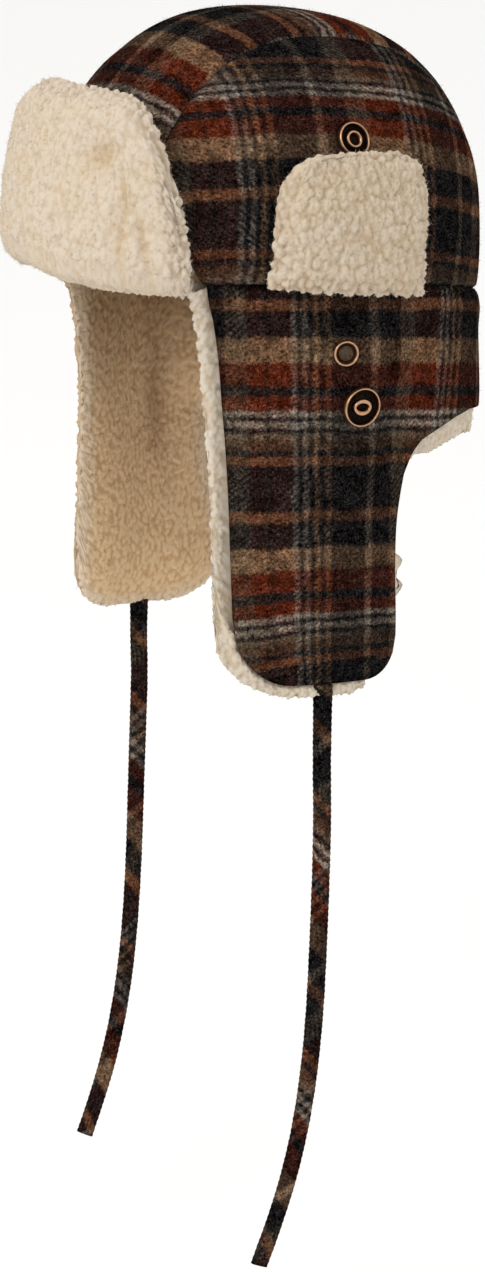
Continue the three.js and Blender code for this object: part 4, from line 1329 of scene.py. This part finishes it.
TAB_MIDDLE, TAB_HALF, TAB_BOTTOM, TAB_HEIGHT = -20.0, 38.0, 8.4, 60.2
TAB_PILE, TAB_WOOL, TAB_STAND = 9.0, 1.6, 3.2
TAB_FRONT_CORNER, TAB_REAR_CORNER, TAB_SLOPE = 25.0, 17.0, 3.4
TAB_END_ROUND, TAB_EDGE_ROUND = 12, 9  # how far in from its borders the pile rounds off


def tab_blocks(inset, columns, rows):
    """Net block of a tab over the crown's side, so far in from its outline."""

    def edge(t, radius):
        cut = np.maximum(0, t * TAB_HEIGHT - (TAB_HEIGHT - radius)) / radius
        turn = 0.95 * radius * (1 - np.sqrt(np.maximum(0, 1 - cut * cut)))
        return TAB_HALF - inset - 2.5 * t - turn

    t = (np.linspace(0, 1, rows + 1) ** 0.85)[:, None]
    share = np.linspace(0, 1, columns + 1)[None]
    y = TAB_MIDDLE + mix(-edge(t, TAB_FRONT_CORNER), edge(t, TAB_REAR_CORNER), share)
    tall = TAB_HEIGHT - 2 * inset - TAB_SLOPE * (1 - share) ** 1.5 * t
    z = TAB_BOTTOM + inset + t * tall
    return [np.stack(np.broadcast_arrays(y, z), -1)]


def make_tab(side_name):
    """A turned-up ear tab: its sherpa outside and its plaid side against the crown."""
    joined = net(tab_blocks(1.2, 46, 38))
    y, z = joined[0][:, 0], joined[0][:, 1]
    ends = np.minimum(1, (TAB_HALF - np.abs(y - TAB_MIDDLE)) / TAB_END_ROUND)
    low = np.minimum(1, (z - TAB_BOTTOM) / TAB_EDGE_ROUND)
    high = np.minimum(1, (TAB_BOTTOM + TAB_HEIGHT - z) / TAB_EDGE_ROUND)
    full = np.minimum(smooth(0.45 + ends * 0.55), smooth(0.5 + low * 0.5))
    p = beside_crown(y, z)
    thick = TAB_PILE * np.minimum(full, smooth(0.5 + high * 0.5))
    thick = thick + 0.7 * ripple(p, 16, 51.0 if side_name == "left" else 57.0)
    lift = GAP + TAB_STAND
    base = lift + TAB_WOOL + GAP
    fringe = 1 - smooth(np.minimum(ends, np.minimum(low, high)))
    near_edge = np.minimum(ends * TAB_END_ROUND, np.minimum(low, high) * TAB_EDGE_ROUND)
    near_edge = 1 - smooth(near_edge / 3.5)
    extra = {"fringe": fringe, "worn": np.clip(0.14 + 0.14 * ripple(p, 8, 61.0), 0, 1)}
    made = shell(joined, beside_crown, base, base + thick, 0.05, rings=4, bulge=0.32, extra=extra,
                 back_pile=0.8 * near_edge)
    pile = make_mesh(f"ear_tab_pile_{side_name}", *for_side(side_name, *made))
    refine(pile, 2)
    grow_pile(pile, SHERPA, FIBRE, Curl_Size=0.0031, Curl_Height=0.0014, Curl_Twist=0.0008,
              Fine_Height=0.0010, Edge_Tufts=1.5, Fibres_per_m2=340000.0,
              Fibres_all_over=300000.0, Fibre_Scale=0.35)
    finish_piece(pile, SHERPA, f"ear_tab_{side_name}")
    joined = net(tab_blocks(3.6, 40, 30))
    y, z = joined[0][:, 0], joined[0][:, 1]
    cloth = np.stack([TAB_CHECK[0] + y, TAB_CHECK[1] + z, 0 * y], -1)
    made = shell(joined, beside_crown, lift, lift + TAB_WOOL, 0.05, extra={"cloth": cloth})
    piece = make_mesh(f"ear_tab_back_cloth_{side_name}", *for_side(side_name, *made))
    finish_piece(piece, PLAID, f"ear_tab_backing_{side_name}")


for side_name in SIDES:
    make_tab(side_name)


# ---------------------------------------------------------------- snaps and vents

CROWN_SNAP = {"place": (-17.4, 74.2), "radius": 8.0, "height": 3.4}
FLAP_SNAP = {"place": (-6.2, -44.0), "radius": 9.3, "height": 3.6}
VENT = {"place": (-16.0, -20.0), "radius": 6.1, "bore": 3.7, "height": 1.6}
STAND = GAP + 0.15
WIRE_PITCH, WIRE_HALF, DISC_THICK = 0.62, 0.17, 0.35


def seat(surface, place, side):
    """Where a turned piece stands on a surface: its middle, its axis and two ways across it."""
    y, z = (np.array(v, float) for v in place)
    dy = surface(y + 0.5, z) - surface(y - 0.5, z)
    dz = surface(y, z + 0.5) - surface(y, z - 0.5)
    out = np.cross(dy, dz)
    out /= np.linalg.norm(out)
    if out[0] < 0:
        out = -out
    along = dy / np.linalg.norm(dy)
    up = np.cross(out, along)
    middle = surface(y, z) + out * STAND
    flip = np.array([side, 1.0, 1.0])
    return middle * flip, out * flip, along * flip, up * flip


def lathe(profile, place, segments, closed=False):
    """Turns (radius, height, polish) rows about a seat's axis."""
    middle, out, along, up = place
    points, polish, rings = [], [], []
    for radius, height, shine in profile:
        count = segments if radius > 1e-6 else 1
        rings.append(list(range(len(points), len(points) + count)))
        for k in range(count):
            a = 2 * math.pi * k / segments
            points.append(middle + out * height + radius * (along * math.cos(a) + up * math.sin(a)))
            polish.append(shine)
    pairs = list(zip(rings, rings[1:]))
    if closed:
        pairs.append((rings[-1], rings[0]))
    faces = []
    for first, second in pairs:
        for k in range(segments):
            n = (k + 1) % segments
            if len(first) == 1:
                faces.append((first[0], second[k], second[n]))
            elif len(second) == 1:
                faces.append((first[k], first[n], second[0]))
            else:
                faces.append((first[k], first[n], second[n], second[k]))
    return np.array(points), faces, {"polish": np.array(polish)}


def rounded(profile, rounds=2):
    """Cuts the corners of a (radius, height, polish) profile, keeping its two ends."""
    for _ in range(rounds):
        cut = [profile[0]]
        for a, b in zip(profile, profile[1:]):
            cut.append(tuple(mix(p, q, 0.25) for p, q in zip(a, b)))
            cut.append(tuple(mix(p, q, 0.75) for p, q in zip(a, b)))
        cut.append(profile[-1])
        profile = cut
    return profile


def snap_profile(radius, height):
    """A ring-topped snap: rolled rim, dark sunk dish, and a raised collar round the socket."""
    r, h = radius, height
    return [
        (0, 0, 0), (r - 0.9, 0, 0.2), (r, 0.6, 0.4), (r + 0.1, h * 0.62, 0.6), (r - 0.15, h * 1.02, 1.0),
        (r - 0.85, h * 1.04, 0.95), (r - 1.15, h * 0.72, 0.3), (r - 1.6, h * 0.34, 0.0),
        (r * 0.66, h * 0.26, 0.0), (r * 0.55, h * 0.34, 0.1), (r * 0.52, h * 0.8, 0.75),
        (r * 0.47, h * 1.02, 1.0), (r * 0.38, h * 1.02, 0.95), (r * 0.32, h * 0.7, 0.5),
        (r * 0.28, h * 0.3, 0.1), (r * 0.12, h * 0.2, 0.05), (0, h * 0.22, 0.15),
    ]


def rim_profile(bore, radius, height):
    """A vent's rolled rim, from its bore over the top and back down to the bore."""
    b, r, h = bore, radius, height
    return [
        (b, 0, 0.1), (r - 0.3, 0, 0.3), (r, h * 0.45, 0.9), (r - 0.4, h * 1.05, 1.0),
        (r - 1.0, h * 1.05, 1.0), (r - 1.4, h * 0.6, 0.25), (b + 0.35, h * 0.5, 0.1), (b, h * 0.35, 0.2),
    ]


EYE_REACH, EYE_SQUEEZE = 0.5, 0.42  # how far out, in snap radii, and by how much it is drawn together


def eye_shaped(points, place, reach):
    """Draw the middle of a socket together from above and below, as its two spring wires lie."""
    middle, _, _, up = place
    away = points - middle
    rise = away @ up
    share = 1 - smooth((np.linalg.norm(away, axis=1) - reach) / (0.4 * reach))
    return points - (EYE_SQUEEZE * share * rise)[:, None] * up


def make_metal(side_name):
    """One side's two snaps and its vent."""
    side = SIDES[side_name]
    for kind, surface, sizes in (
        ("crown_snap", beside_crown, CROWN_SNAP),
        ("flap_snap", beside_skirt, FLAP_SNAP),
    ):
        place = seat(surface, sizes["place"], side)
        profile = rounded(snap_profile(sizes["radius"], sizes["height"]))
        points, faces, values = lathe(profile, place, 64)
        if kind == "flap_snap":
            points = eye_shaped(points, place, EYE_REACH * sizes["radius"])
        piece = make_mesh(f"{kind}_cap_{side_name}", points, faces, values)
        finish_piece(piece, COPPER, f"{kind}_{side_name}")
    place = seat(beside_skirt, VENT["place"], side)
    profile = rounded(rim_profile(VENT["bore"], VENT["radius"], VENT["height"]), 1)
    piece = make_mesh(f"vent_rim_{side_name}", *lathe(profile, place, 56, closed=True))
    finish_piece(piece, COPPER, f"vent_eyelet_{side_name}")
    make_gauze(place, VENT["bore"] - GAP, side_name)


def make_gauze(place, radius, side_name):
    """Wire cloth in the eyelet: crossing wires over a dark backing disc."""
    middle, out, along, up = place
    points, faces = [], []
    count = int(radius / WIRE_PITCH)
    for k in range(-count, count + 1):
        for way, cross, lift in ((along, up, 0.62), (up, along, 0.78)):
            reach = math.sqrt(max(0.0, radius**2 - (k * WIRE_PITCH) ** 2)) - 0.05
            if reach < 0.4:
                continue
            start = len(points)
            for end in (-reach, reach):
                for a in range(4):
                    turn = math.pi / 4 + a * math.pi / 2
                    aside = cross * (k * WIRE_PITCH + WIRE_HALF * math.cos(turn))
                    offset = aside + out * (lift + WIRE_HALF * math.sin(turn))
                    points.append(middle + way * end + offset)
            for a in range(4):
                b = (a + 1) % 4
                faces.append((start + a, start + b, start + 4 + b, start + 4 + a))
            faces += [(start + 3, start + 2, start + 1, start), (start + 4, start + 5, start + 6, start + 7)]
    profile = [(0, 0, 0), (radius, 0, 0), (radius, DISC_THICK, 0), (0, DISC_THICK, 0)]
    disc, disc_faces, _ = lathe(profile, place, 32)
    shift = len(points)
    faces += [tuple(i + shift for i in f) for f in disc_faces]
    piece = make_mesh(f"vent_wire_{side_name}", np.concatenate([np.array(points), disc]), faces)
    turn_outwards(piece.data)
    finish_piece(piece, GAUZE, f"vent_mesh_{side_name}")


for side_name in SIDES:
    make_metal(side_name)


for spare in (FIBRE, NAP):
    bpy.data.objects.remove(spare)

# ---------------------------------------------------------------- studio

FLOOR_Z, FLOOR_REACH = -0.56, 12.0
KEY_AT, KEY_AIM, KEY_SIZE, KEY_WATTS = (0.3, -2.2, 1.7), (0, 0, -0.1), 1.4, 26.0


def studio():
    """A plain pale floor under soft light from all round, with one large soft key."""
    mesh = bpy.data.meshes.new("floor")
    turns = ((-1, -1), (1, -1), (1, 1), (-1, 1))
    corners = [(x * FLOOR_REACH, y * FLOOR_REACH, FLOOR_Z) for x, y in turns]
    mesh.from_pydata(corners, [], [(0, 1, 2, 3)])
    look, tree, shader = material("floor_paper")
    fill(tree, shader, {"Base Color": tint("#f7f6f4"), "Roughness": 0.9})
    mesh.materials.append(look)
    in_scene("floor", mesh)
    world = bpy.data.worlds.new("studio")
    world.use_nodes = True
    sky = world.node_tree.nodes["Background"]
    fill(world.node_tree, sky, {0: (1.0, 1.0, 1.0, 1.0), 1: 1.0})
    bpy.context.scene.world = world
    key = bpy.data.lights.new("key", "AREA")
    key.shape = "SQUARE"
    key.size = KEY_SIZE
    key.energy = KEY_WATTS
    lamp = in_scene("key", key)
    lamp.location = KEY_AT
    lamp.rotation_euler = turned_to(KEY_AT, KEY_AIM)
    bpy.context.scene.view_settings.view_transform = "Standard"


studio()
